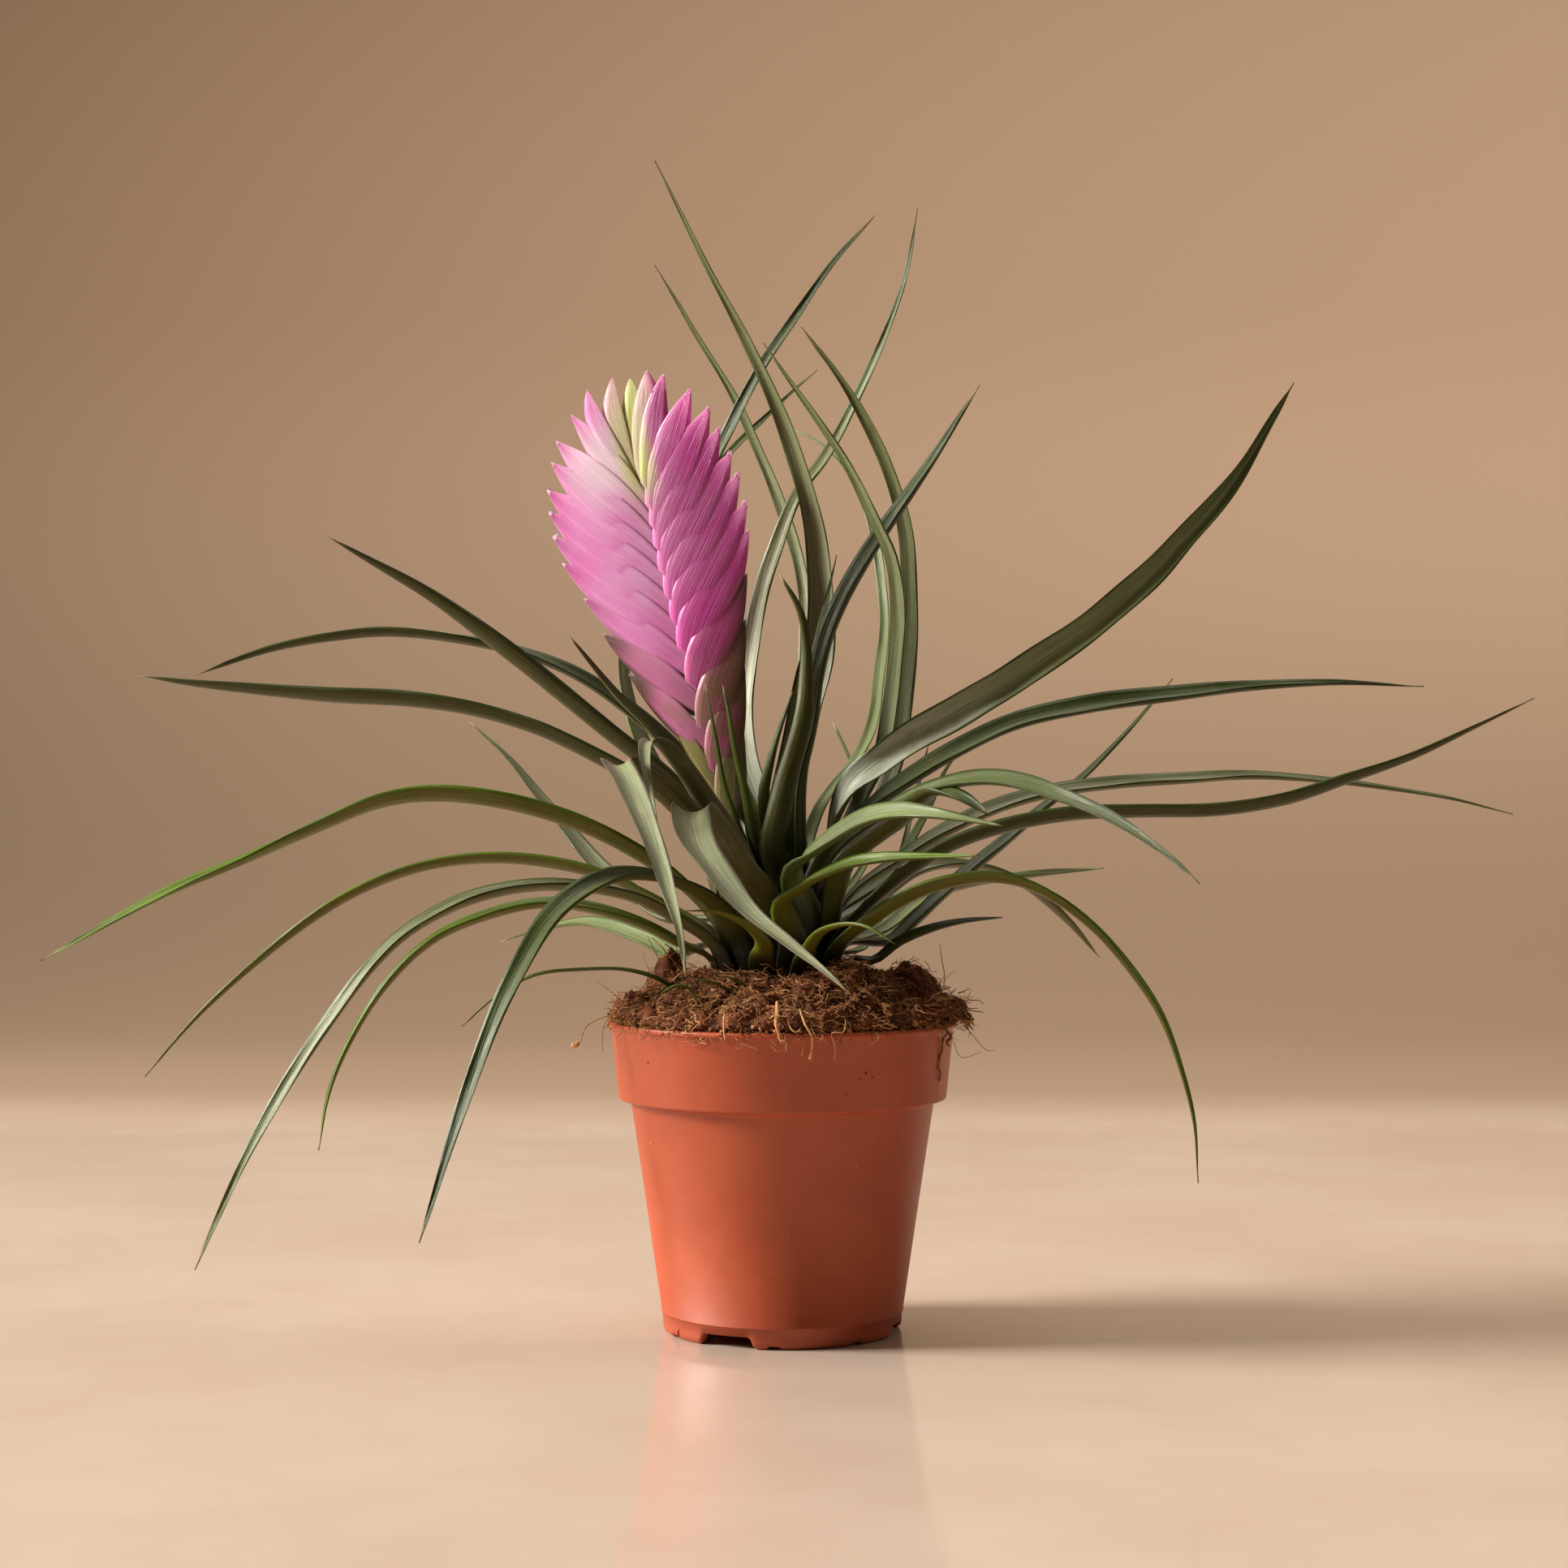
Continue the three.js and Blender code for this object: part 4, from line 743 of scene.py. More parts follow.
@dataclass
class Blade:
    """Works out the places on one leaf's surface.

    Each pair of shares says where, past the sheath or along the leaf, a change starts and ends.
    """

    leaf: Leaf
    route: Route
    seed: float
    columns: int = 10
    row_spacing: float = 2.8
    least_rows: int = 24
    tip_width: float = 0.5
    half_angle: float = math.radians(62)
    sheath_thickness: float = 0.95
    blade_thickness: float = 0.7
    tip_thickness: float = 0.3
    ripple: float = 0.22
    ripple_rate: float = 0.21
    unevenness: float = 0.035
    uneven_rate: float = 0.09
    point: Pair = (0.965, 1.0)
    point_width: float = 0.25
    edge_start: float = 0.999
    rolling: Pair = (0.5, 1.0)
    thinning: Pair = (0.6, 1.0)
    rows: int = field(init=False)
    sheath_end: float = field(init=False)
    sections: list[tuple[Vector, Vector, Vector, float, float, float]] = field(init=False)

    def __post_init__(self) -> None:
        """Work out the leaf's sections, one for each row of vertices."""
        self.rows = max(self.least_rows, round(self.route.length / self.row_spacing))
        self.sheath_end = 0.0
        if self.leaf.layer is not None:
            rise = CUPS.top(self.leaf.layer) - CUPS.foot_height
            self.sheath_end = rise / math.cos(math.atan(CUPS.lean(self.leaf.layer))) / self.route.length
        self.sections = [self.section(i / self.rows) for i in range(self.rows + 1)]

    def past_sheath(self, reach: float, share: float) -> float:
        """Rise softly from 0 where the sheath ends to 1 at a share further out."""
        return smooth(self.sheath_end, min(1.0, self.sheath_end + reach), share)

    def half_width(self, share: float) -> float:
        """Return half the blade's width, measured flat."""
        leaf = self.leaf
        blade = leaf.width / 2
        base = blade if leaf.layer is None else leaf.sheath
        narrowed = mix(base, blade, smooth(self.sheath_end * 0.5, self.sheath_end + 0.16, share))
        start = max(leaf.taper, self.sheath_end + 0.05)
        towards_tip = max(0.0, (share - start) / (1 - start))
        tapered = mix(narrowed, self.tip_width / 2, towards_tip**leaf.blunt)
        uneven = 1 + self.unevenness * math.sin(self.uneven_rate * share * self.route.length + self.seed)
        return tapered * uneven * mix(1.0, self.point_width, smooth(*self.point, share))

    def bend(self, share: float, half: float, height: float) -> float:
        """Return the bend of the cross-section: round the stem in the sheath, a gutter in the blade."""
        gutter = self.leaf.gutter * self.half_angle / half
        if self.leaf.layer is None:
            return gutter
        lean = math.cos(math.atan(CUPS.lean(self.leaf.layer)))
        rounded = lean / CUPS.radius(self.leaf.layer, min(height, CUPS.leave_height))
        return mix(rounded, gutter, smooth(self.sheath_end * 0.9, self.sheath_end + 0.14, share))

    def section(self, share: float) -> tuple[Vector, Vector, Vector, float, float, float]:
        """Work out the cross-section of the leaf.

        Args:
            share: How far along the leaf.

        Returns:
            The section's middle, its side and upper directions, its half width, bend and thickness.
        """
        leaf = self.leaf
        along = self.route.along(share)
        end = leaf.azimuth if leaf.tip_azimuth is None else leaf.tip_azimuth
        heading = math.radians(mix(leaf.azimuth, end, self.past_sheath(0.5, share)))
        side = Vector((-math.sin(heading), math.cos(heading), 0.0))
        side = (side - along * side.dot(along)).normalized()
        roll = mix(leaf.roll[0] * self.past_sheath(0.25, share), leaf.roll[1], smooth(*self.rolling, share))
        side.rotate(Matrix.Rotation(math.radians(roll), 3, along))
        upper = along.cross(side)
        half = self.half_width(share)
        centre = self.route.point(share)
        bend = self.bend(share, half, centre.z)
        sink = 0.5 * self.past_sheath(0.15, share)
        centre -= upper * sink * (1 - math.cos(bend * half)) / bend
        thickness = mix(self.sheath_thickness, self.blade_thickness, self.past_sheath(0.3, share))
        thickness = mix(thickness, self.tip_thickness, smooth(*self.thinning, share))
        return centre, side, upper, half, bend, thickness

    def place(self, across: float, share: float) -> Vertex:
        """Put a vertex on the leaf: across the upper face and back across the lower one."""
        centre, side, upper, half, bend, thickness = self.sections[round(share * self.rows)]
        on_upper = across < 0.5
        from_middle = 1 - 4 * across if on_upper else 4 * across - 3
        angle = bend * half * from_middle
        spot = centre + side * (math.sin(angle) / bend) + upper * ((1 - math.cos(angle)) / bend)
        out = upper * math.cos(angle) - side * math.sin(angle)
        edge = abs(from_middle)
        body = thickness / 2 * (1 - edge**3) ** 0.8
        wave = math.sin(self.ripple_rate * share * self.route.length + self.seed * 3 + from_middle)
        ripple = self.ripple * edge**3 * wave
        spot += out * ((body if on_upper else -body) + ripple * self.past_sheath(0.2, share))
        face = 0.5 if edge > self.edge_start else float(on_upper)
        return spot, Vector((from_middle, share, face))


D, G, M, S = LeafLook.DARK, LeafLook.GREEN, LeafLook.GREY, LeafLook.SILVER
P, W, Y = LeafLook.PALE, LeafLook.DROOPING, LeafLook.YOUNG

# From the heart outwards in each group, as in the part's source
LEAVES: tuple[Leaf, ...] = (
    Leaf("leaf_heart_1", Y, 205, 4.2, (
        (-10.5, 126, -6), (-12.7, 133, -8), (-15.3, 141, -9), (-17, 151, -10), (-18.6, 159.5, -11),
        (-20, 167, -11)), layer=2.2, sheath=2.4),
    Leaf("leaf_heart_2", Y, 60, 3.4, (
        (4, 142, 5), (6, 160, 7), (8, 173, 8), (14, 200, 9)), layer=0.4, sheath=2.8),
    Leaf("leaf_heart_3", Y, 225, 4.4, (
        (-8, 128, -8), (-9.6, 138, -11), (-12.7, 151, -13), (-14, 159.5, -14), (-15.4, 166.5, -14)),
        layer=1.3, sheath=2.6),
    Leaf("leaf_heart_4", D, 272, 8, (
        (-2.8, 124, -12), (-1, 133, -13), (1, 141.7, -13), (3.5, 150.7, -13), (5.7, 160.3, -13),
        (6.3, 169, -12), (6.1, 178, -11), (4.4, 185.7, -11), (-0.6, 195, -10)), layer=2.2, sheath=3.3),
    Leaf("leaf_heart_5", Y, 255, 4.4, (
        (-4.2, 129, -7), (-5, 138, -8), (-3, 147, -8.5), (-0.4, 156, -8.5), (2.6, 164.7, -8.5)),
        layer=0.4, sheath=2.4),
    Leaf("leaf_upright_1", M, 75, 11, (
        (0, 132, 10), (3, 146, 14), (6, 160, 17), (9.5, 175, 18), (10.2, 190, 18), (9, 203, 18),
        (6.5, 215.5, 17), (3.7, 225, 17), (-5, 247, 16), (-19, 274, 14), (-33, 302, 12)), layer=1.3,
        sheath=3.2, roll=(11, -14), tip_azimuth=60, taper=0.38, blunt=0.79),
    Leaf("leaf_upright_2", D, 120, 5.4, (
        (-9, 136, 22), (-16, 158, 26), (-22, 180, 28), (-23, 197, 29), (-20, 218, 30), (-13.5, 233, 31),
        (-6, 247.5, 31), (3.1, 261.3, 31), (13.6, 276.2, 30), (24, 288, 30)), layer=3.1, sheath=2.2,
        roll=(-14, 8), taper=0.54, blunt=2.05, tip_azimuth=60),
    Leaf("leaf_upright_3", S, 74, 8.6, (
        (-5, 136, 18), (-8.6, 146, 21), (-9.7, 158, 23), (-8.4, 173, 26), (-5.2, 190, 30),
        (-1.8, 201, 32), (4, 215.5, 34), (10.9, 225, 36), (18, 238, 38), (31, 269, 40), (35, 290, 41)),
        layer=2.2, sheath=3, roll=(-26, -14), taper=0.36, blunt=1.07),
    Leaf("leaf_upright_4", M, 62, 5.1, (
        (4, 150, 27), (6, 170, 36), (6, 188, 42), (3.2, 203, 46), (0, 212, 48), (-5.2, 225, 51),
        (-12, 240, 54), (-24, 260, 57), (-33, 275, 58)), layer=3.1, sheath=3.2, taper=0.46, blunt=1.46),
    Leaf("leaf_upright_5", S, 106, 6, (
        (-17, 140, 30), (-26, 165, 44), (-29, 190, 53), (-24, 212, 58), (-14, 226, 61), (-1, 239, 64),
        (9, 248, 66)), layer=4, sheath=3.6, tip_azimuth=82),
    Leaf("leaf_upright_6", M, 24, 6.9, (
        (19, 134, 3), (25.5, 147, 0), (28, 160, -2), (29.8, 174, -4), (30.2, 186, -6), (28.4, 199.5, -8),
        (23.6, 210, -9), (16, 225, -9), (10, 234, -9), (2, 245, -9), (-5, 255, -9)), layer=4, sheath=4.2,
        roll=(16, 18), taper=0.44, blunt=1.5),
    Leaf("leaf_upright_7", M, 60, 7.9, (
        (20, 126, 15), (26.2, 137.3, 16), (29.7, 147, 17), (31.9, 161, 18), (33, 174, 18),
        (33.3, 186.6, 18), (32.6, 203, 17), (30.4, 213.5, 16), (26.3, 225.5, 15), (20.6, 236.5, 14),
        (13.8, 247.5, 13), (4.8, 259, 12)), layer=5.8, sheath=3.9, roll=(-22, 9), taper=0.5, blunt=1.4),
    Leaf("leaf_upright_8", D, 340, 9.3, (
        (5, 143, -2), (7.5, 156, 0), (9, 168, 1), (11.6, 179, 2), (15.8, 189, 2), (22, 200, 2),
        (27.4, 208, 3), (33, 216, 3), (40, 226.4, 4), (51, 244, 5)), layer=1.3, sheath=3.2, roll=(44, 39),
        taper=0.6, blunt=2.2),
    Leaf("leaf_back_1", P, 76, 4.2, (
        (9, 133, 22), (13.5, 140.5, 30), (19, 147, 38), (23.2, 156, 46), (25.4, 171, 58),
        (26.5, 184, 68), (25.7, 193, 73.5), (24.3, 202, 79), (21.7, 212.6, 86), (17.6, 221, 92),
        (13.4, 226, 96), (7.2, 230.7, 102), (1, 233, 107)), layer=4.9, sheath=3.4, roll=(-13, -1),
        taper=0.5, blunt=1.5),
    Leaf("leaf_back_2", P, 68, 3, (
        (22, 122, 34), (21, 136, 43), (18, 146, 48), (13, 157, 54)), layer=8.5, sheath=3.2),
    Leaf("leaf_back_3", P, 140, 9, (
        (-22, 128, 20), (-35, 148, 36), (-40, 162, 46), (-41, 178, 56), (-35, 197, 66)), layer=4.9,
        sheath=3.8),
    Leaf("leaf_left_1", D, 140, 8.2, (
        (-15, 132, 12), (-28, 149.5, 14), (-43, 162.5, 13), (-55, 170, 13), (-68, 175, 13),
        (-85, 178.6, 12), (-102, 180, 12), (-114, 179, 12), (-131, 176, 12), (-152, 169, 12)), layer=2.2,
        sheath=2.5, roll=(1, 20), taper=0.61, blunt=1.67),
    Leaf("leaf_left_2", D, 200, 8.5, (
        (-20, 131, -12), (-30, 142, -14), (-45, 154, -16), (-66, 171, -19), (-89, 188, -22),
        (-104, 197, -24), (-118, 205, -27)), layer=3.1, sheath=4, roll=(21, 34), taper=0.55, blunt=1.89),
    Leaf("leaf_left_3", D, 178, 9.2, (
        (-20, 129, -1), (-28, 137, 0), (-41, 144, 1), (-55, 151.3, 2), (-63.3, 155, 2.5),
        (-79.8, 159.9, 3.5), (-96.4, 162.4, 4.3), (-116.3, 163.4, 5.2), (-137.8, 165.2, 6),
        (-154.3, 167, 6), (-167, 169, 6)), layer=4, sheath=5, roll=(19, 30), taper=0.63, blunt=2),
    Leaf("leaf_left_4", M, 166, 5, (
        (-19, 128, 7), (-24, 142, 6.5), (-34, 155, 5.5), (-43, 164, 5), (-55, 179, 4)), layer=5.8,
        sheath=2.2, roll=(-14, -26), taper=0.6, blunt=2),
    Leaf("leaf_left_5", G, 194, 10.4, (
        (-28, 116, -8), (-43, 126, -10), (-60, 133, -11), (-76, 136.8, -12), (-91, 138, -12),
        (-104, 136.2, -12), (-122, 129, -12), (-140, 121, -12), (-160, 112.4, -12), (-177, 103.3, -12),
        (-192, 95, -12)), layer=6.7, sheath=5.4, roll=(17, -31), taper=0.6, blunt=1.27),
    Leaf("leaf_left_6", G, 167, 7.7, (
        (-28, 108, 3), (-43, 116, 5), (-58, 120, 7), (-72, 121.5, 9), (-85, 120.8, 10), (-97, 118.2, 11),
        (-110, 113, 11.5), (-122, 105.7, 12), (-134, 96.4, 12), (-152, 80, 11), (-165, 65, 10)),
        layer=7.6, sheath=5, roll=(20, 21), taper=0.35, blunt=1.14),
    Leaf("leaf_left_7", M, 202, 9.8, (
        (-27, 105, -12), (-38, 111.5, -17), (-51, 114.2, -21), (-64, 114.6, -24), (-76, 112.6, -27),
        (-86, 109, -28.5), (-97.5, 102.3, -30.5), (-107, 93, -32), (-114.8, 83, -33), (-130, 60, -36),
        (-142.3, 37, -38), (-152, 15, -40)), layer=8.5, sheath=6.2, roll=(-6, -48), taper=0.39, blunt=1.22),
    Leaf("leaf_left_8", G, 178, 8, (
        (-26, 99, -3), (-37, 105, -5), (-51, 109, -6), (-62, 110, -7), (-76, 107, -8),
        (-90.5, 100.6, -9), (-103, 88.5, -9), (-112.6, 73, -9), (-117.6, 60, -9), (-120, 46, -9)),
        layer=9.4, sheath=6, roll=(-10, -21), taper=0.47, blunt=1.57),
    Leaf("leaf_left_9", D, 226, 9.8, (
        (-21, 112, -26), (-32, 117, -38), (-45, 116.5, -50), (-58, 108, -61), (-69.3, 90.5, -71),
        (-79.6, 66, -80), (-87.3, 43, -87), (-94, 22, -92)), layer=7.6, sheath=5.8, roll=(-13, -26),
        tip_azimuth=215, taper=0.3, blunt=1.66),
    Leaf("leaf_back_4", M, 138, 7.8, (
        (-29, 106, 24), (-37, 111, 33), (-46.8, 118.5, 43), (-55, 128, 53), (-63.6, 138.6, 62),
        (-71.8, 148.3, 70), (-81, 157, 78)), layer=6.7, sheath=3.6, roll=(-12, -6), taper=0.51, blunt=1.08),
    Leaf("leaf_back_5", P, 148, 7.5, (
        (-28, 97, 26), (-37, 101, 40), (-49, 105, 58), (-60, 104, 76), (-73, 100, 96)), layer=8.5,
        sheath=4, roll=(-22, -8), taper=0.5),
    Leaf("leaf_front_1", W, 228, 10.5, (
        (-18, 124, -24), (-28, 136, -34), (-38, 144, -45), (-43, 146.5, -56), (-41, 143, -66),
        (-37.5, 136, -77), (-34, 127, -88), (-30, 115, -99), (-27, 104, -109), (-25, 91, -120)),
        layer=5.8, sheath=5.2, tip_azimuth=268),
    Leaf("leaf_front_2", W, 244, 9, (
        (-11.9, 122, -19), (-18.5, 133.6, -26), (-25.6, 144.5, -35), (-31, 151, -42), (-34.8, 152, -48),
        (-35.6, 147, -54), (-34.4, 139, -60), (-32.4, 131, -65)), layer=4.9, sheath=5, tip_azimuth=262),
    Leaf("leaf_front_3", W, 262, 11.5, (
        (-6.8, 112, -22), (-10.5, 117, -27), (-14.5, 123, -33), (-19, 130, -40), (-22.8, 134.5, -47),
        (-24, 133, -56), (-22, 125.5, -69), (-17, 118, -82), (-8, 107, -98), (1, 100, -110),
        (10, 93, -121), (17, 87, -130)), layer=6.7, sheath=5.6, tip_azimuth=278),
    Leaf("leaf_front_4", G, 256, 5.6, (
        (-5, 99.5, -26), (-8.5, 103.7, -30), (-13, 106.4, -34), (-18.5, 108, -38), (-25, 108, -42)),
        layer=9.4, sheath=4, tip_azimuth=215),
    Leaf("leaf_front_5", G, 291, 4.4, (
        (7.3, 99, -24), (10.5, 102.8, -30), (16.5, 104.7, -37), (22, 103.9, -43), (29, 99.5, -50)),
        layer=9.4, sheath=3.6, tip_azimuth=320),
    Leaf("leaf_front_6", P, 298, 9.5, (
        (3, 119, -21), (9, 124.3, -27), (15.5, 128.6, -34), (22, 132, -42), (29.5, 133.6, -51),
        (38.5, 133, -60), (46.5, 131.8, -66), (57, 130, -73)), layer=5.8, sheath=5.2, roll=(40, 19),
        tip_azimuth=330, taper=0.48, blunt=2.14),
    Leaf("leaf_front_7", G, 283, 6.7, (
        (0, 110, -23), (4.6, 114.1, -28), (10.5, 117.5, -34), (18, 120.4, -41), (25, 121.5, -47),
        (33.6, 122, -54), (51, 122.2, -68)), layer=7.6, sheath=4, roll=(33, 16), tip_azimuth=320,
        taper=0.54, blunt=1.45),
    Leaf("leaf_front_8", D, 312, 9.6, (
        (15, 127, -16), (24, 133, -27), (32.5, 137.3, -37), (39, 139.8, -45), (46.5, 141.7, -55),
        (54.5, 142.2, -66), (62.5, 140.9, -77), (70.5, 138.2, -88), (85, 132, -102), (98, 123.5, -115),
        (108, 115, -126)), layer=4, sheath=4.2, roll=(26, 26), tip_azimuth=310, taper=0.48, blunt=1.2),
    Leaf("leaf_front_9", D, 326, 9, (
        (16, 120, -25), (23.5, 127, -34), (30, 131.5, -41), (35, 136, -48), (39.5, 139, -55),
        (46, 137.5, -62), (54, 132.5, -68)), layer=6.7, sheath=4, roll=(-20, 15), tip_azimuth=300,
        taper=0.6, blunt=3),
    Leaf("leaf_right_1", S, 345, 10, (
        (17, 139.5, -8), (25, 146.5, -10), (33, 152.5, -11), (42.7, 158, -12), (50.5, 162.8, -13),
        (58.5, 167.3, -13), (70, 175, -13), (81.8, 183.4, -13), (94.4, 194.3, -12), (103, 203.5, -11.5),
        (111.7, 212.8, -11), (120.4, 224.6, -9), (132.3, 244.8, -5)), layer=3.1, sheath=5, roll=(98, 108),
        taper=0.5, blunt=1.9),
    Leaf("leaf_right_2", D, 348, 9.7, (
        (18, 130, -6), (25, 136.5, -6), (32, 141.5, -6), (45, 149.5, -6), (60, 156.5, -6), (79, 161, -6),
        (98, 163.5, -5), (121, 166, -4), (144, 167, -2), (166, 166, 0)), layer=4.9, sheath=4.4,
        roll=(33, 13), taper=0.58, blunt=1.57),
    Leaf("leaf_right_3", M, 4, 9.1, (
        (19, 113, 2), (29, 120, 4), (41, 128, 6), (56, 135, 8), (71, 139, 9), (87, 141, 10),
        (102, 142, 10), (121, 143, 10), (138, 142, 9), (155, 140, 8), (173, 137, 7), (189, 133, 6)),
        layer=5.8, sheath=4.8, roll=(20, 14), taper=0.39, blunt=1.27),
    Leaf("leaf_right_4", D, 340, 9.1, (
        (22.5, 108.5, -9), (32, 117.5, -11), (43, 124.6, -13), (57, 129.6, -15), (74, 132.8, -17),
        (92, 133.6, -18), (113, 134, -18), (131, 137, -17), (146, 142, -15), (163, 148, -13),
        (180, 156, -11), (194.5, 163, -9)), layer=7.6, sheath=5.6, roll=(-15, -2), taper=0.5, blunt=2.15),
    Leaf("leaf_right_5", G, 331, 8.2, (
        (23, 105, -15), (29.5, 110, -17), (37, 113.6, -20), (46.5, 116, -23), (54.5, 116.6, -25),
        (62.5, 115.2, -27), (70, 111.8, -29), (81.5, 103, -31), (91.2, 91.5, -33), (98.3, 80.3, -35),
        (103.3, 66.6, -37), (106.6, 53, -38), (107.6, 37.5, -39)), layer=8.5, sheath=5.4, roll=(-15, -3),
        taper=0.49, blunt=1),
    Leaf("leaf_right_6", D, 352, 5.8, (
        (23, 95, -3), (30.5, 100.1, -5), (38.5, 103.4, -7), (46.5, 105.3, -8), (57, 106.3, -10)),
        layer=9.4, sheath=3.8, roll=(19, 17), taper=0.54, blunt=1.56),
    Leaf("leaf_right_7", D, 24, 8.4, (
        (28, 100, 14), (34, 105.3, 18), (41, 112, 24), (49, 119, 31), (57.5, 126, 38), (68, 135, 46),
        (77, 142, 52), (88, 153, 60), (101, 168, 70)), layer=8.5, sheath=4.9, roll=(2, -2), taper=0.43,
        blunt=1.11),
    Leaf("leaf_back_6", M, 38, 7.3, (
        (27, 113, 24), (34, 118, 31), (41, 120, 38), (52, 119.5, 50), (63, 114.5, 62), (73, 106, 73),
        (82, 96, 84)), layer=7.6, sheath=4.4, roll=(11, -6), taper=0.55, blunt=1.9),
    Leaf("leaf_back_7", P, 52, 6.9, (
        (26, 103, 26), (36, 111, 44), (48, 115, 62), (61, 117, 80), (71, 118, 95), (83, 119, 110)),
        layer=9.4, sheath=4.2, roll=(3, 19), taper=0.55, blunt=1.9),
    Leaf("leaf_back_8", D, 42, 5, (
        (28, 118, 26), (36, 131, 36), (39, 137, 40), (42, 144, 44), (47, 151, 49)), layer=6.7, sheath=3),
    Leaf("leaf_back_9", D, 114, 9, (
        (-8, 120, 36), (-11, 128, 60), (-14, 130, 84), (-16, 124, 106), (-17, 112, 124), (-17, 99, 132)),
        layer=5.8, sheath=3.7),
    Leaf("leaf_back_10", D, 90, 8.5, (
        (3, 116, 36), (7, 122, 60), (10, 120, 82), (11, 110, 102), (11, 96, 116)), layer=6.7, sheath=4),
    Leaf("leaf_back_11", M, 112, 8, (
        (-13, 108, 32), (-17, 116, 54), (-18, 118, 76), (-16, 112, 96), (-13, 102, 112)), layer=7.6,
        sheath=4.2),
    Leaf("leaf_back_12", D, 84, 3, (
        (20, 98, 30), (25, 106, 40), (30, 120, 54), (34, 136, 66), (38, 152, 76)), layer=9.4, sheath=3),
    Leaf("leaf_low_1", Y, 185, 3.2, (
        (-24, 82, -9), (-27, 87, -10), (-32, 90.5, -12), (-41, 93, -14), (-51, 93, -16),
        (-64, 91.5, -18), (-74, 86, -19), (-83, 78, -20)), gutter=0.7),
    Leaf("leaf_low_2", Y, 200, 3.6, (
        (-10, 81, -26), (-13, 86.5, -29), (-17.5, 89.5, -31), (-22.5, 90.3, -32)), gutter=0.7),
    Leaf("leaf_low_3", Y, 200, 3, (
        (-5.5, 82, -26), (-8.5, 87.5, -28), (-12, 90, -30), (-15.5, 91.3, -31)), gutter=0.7),
    Leaf("leaf_low_4", Y, 200, 2.6, (
        (-21, 82, -30), (-24, 88, -32), (-27.5, 88.7, -34), (-33, 85.5, -38)), gutter=0.7),
)


class Rosette:
    """The plant's leaves."""

    SEED = 5
    TONES = (0.4, 0.9)

    def __init__(self, effects: Effects) -> None:
        """Make the materials of all kinds of leaf."""
        self.materials = {
            look: finish.material(f"leaf_{look.value}", effects) for look, finish in LEAF_FINISHES.items()
        }
        self.chance = random.Random(self.SEED)

    def build(self) -> None:
        """Make each leaf in place of its plain solid."""
        for leaf in LEAVES:
            bm, nature = leaf.shape(self.chance.uniform(0, math.tau))
            nature.z = self.chance.uniform(*self.TONES)
            mesh = assembled(leaf.name, [mesh_of(leaf.name, bm)], each_once([nature]))
            piece = show(f"{leaf.name}_blade", mesh, self.materials[leaf.look])
            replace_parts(piece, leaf.name)


# Flower spike


@dataclass(frozen=True)
class Bract:
    """One bract of the spike, noted along the spike and across it.

    side is -1 in the left row and 1 in the right. tip is where it ends, and root how far along the spike
    its upper brim leaves the middle line. green says how olive it is, and young how yellow. A bract at
    the spike's top also has a width. Its offset is how far its middle lies off its chord, and its level
    how far it lies over the innermost one.
    """

    side: int
    tip: Pair
    root: float
    green: float = 0.0
    young: float = 0.0
    width: float = 0.0
    offset: float = 0.0
    level: float = 0.0


STEM_BRACTS = (
    Bract(1, (14.0, 8.0), -9.0, green=1.0),
    Bract(-1, (20.5, -11.8), -5.0, green=1.0),
    Bract(1, (24.6, 11.6), 3.0, green=0.8),
    Bract(-1, (29.6, -18.7), 8.5, green=0.6),
)
PINK_BRACTS = (
    Bract(1, (35.6, 14.6), 13.8, green=0.7),
    Bract(-1, (41.5, -22.9), 20.6, green=0.48),
    Bract(1, (46.8, 17.8), 25.5, green=0.4),
    Bract(-1, (51.7, -25.5), 30.3, green=0.2),
    Bract(1, (57.4, 21.0), 34.5, green=0.08),
    Bract(-1, (62.1, -28.8), 38.0),
    Bract(1, (64.7, 22.3), 42.0),
    Bract(-1, (69.5, -29.6), 44.6),
    Bract(1, (72.3, 22.2), 48.6),
    Bract(-1, (76.0, -29.0), 50.6),
    Bract(1, (78.2, 21.5), 55.0),
    Bract(-1, (81.6, -28.0), 56.2),
    Bract(1, (84.9, 20.1), 61.4),
    Bract(-1, (88.3, -25.2), 61.6),
    Bract(-1, (93.4, -22.6), 66.2),
    Bract(1, (90.8, 18.8), 67.0),
    Bract(-1, (98.9, -17.1), 70.6),
    Bract(1, (96.6, 15.1), 72.4),
    Bract(1, (102.4, 9.4), 78.0, young=0.35),
)
YOUNG_BRACTS = (
    Bract(-1, (103.9, -11.2), 76.0, young=0.3, width=5.4, offset=-2.35, level=0.6),
    Bract(1, (104.3, 5.0), 75.5, young=0.6, width=8.3, offset=0.9, level=0.35),
    Bract(-1, (103.6, 0.3), 77.4, young=1.0, width=6.4),
    Bract(-1, (105.1, -4.0), 77.0, young=0.5, width=5.9, offset=-2.5, level=0.3),
)


@dataclass(frozen=True)
class Row:
    """How the bracts of one row lie. A pair goes from the lower bracts to the upper ones.

    reach says where the keel bends, as a share of the way out to the tip. lift and spread say where the
    brim bends, up and across, and brim is where it starts across. overlap is how far the brim stands over
    the keel's side, sink how far the root goes in, and rounding how far the brim's edge turns in.
    """

    reach: Pair
    lift: Pair
    spread: Pair
    brim: Pair
    overlap: float
    sink: float
    rounding: float


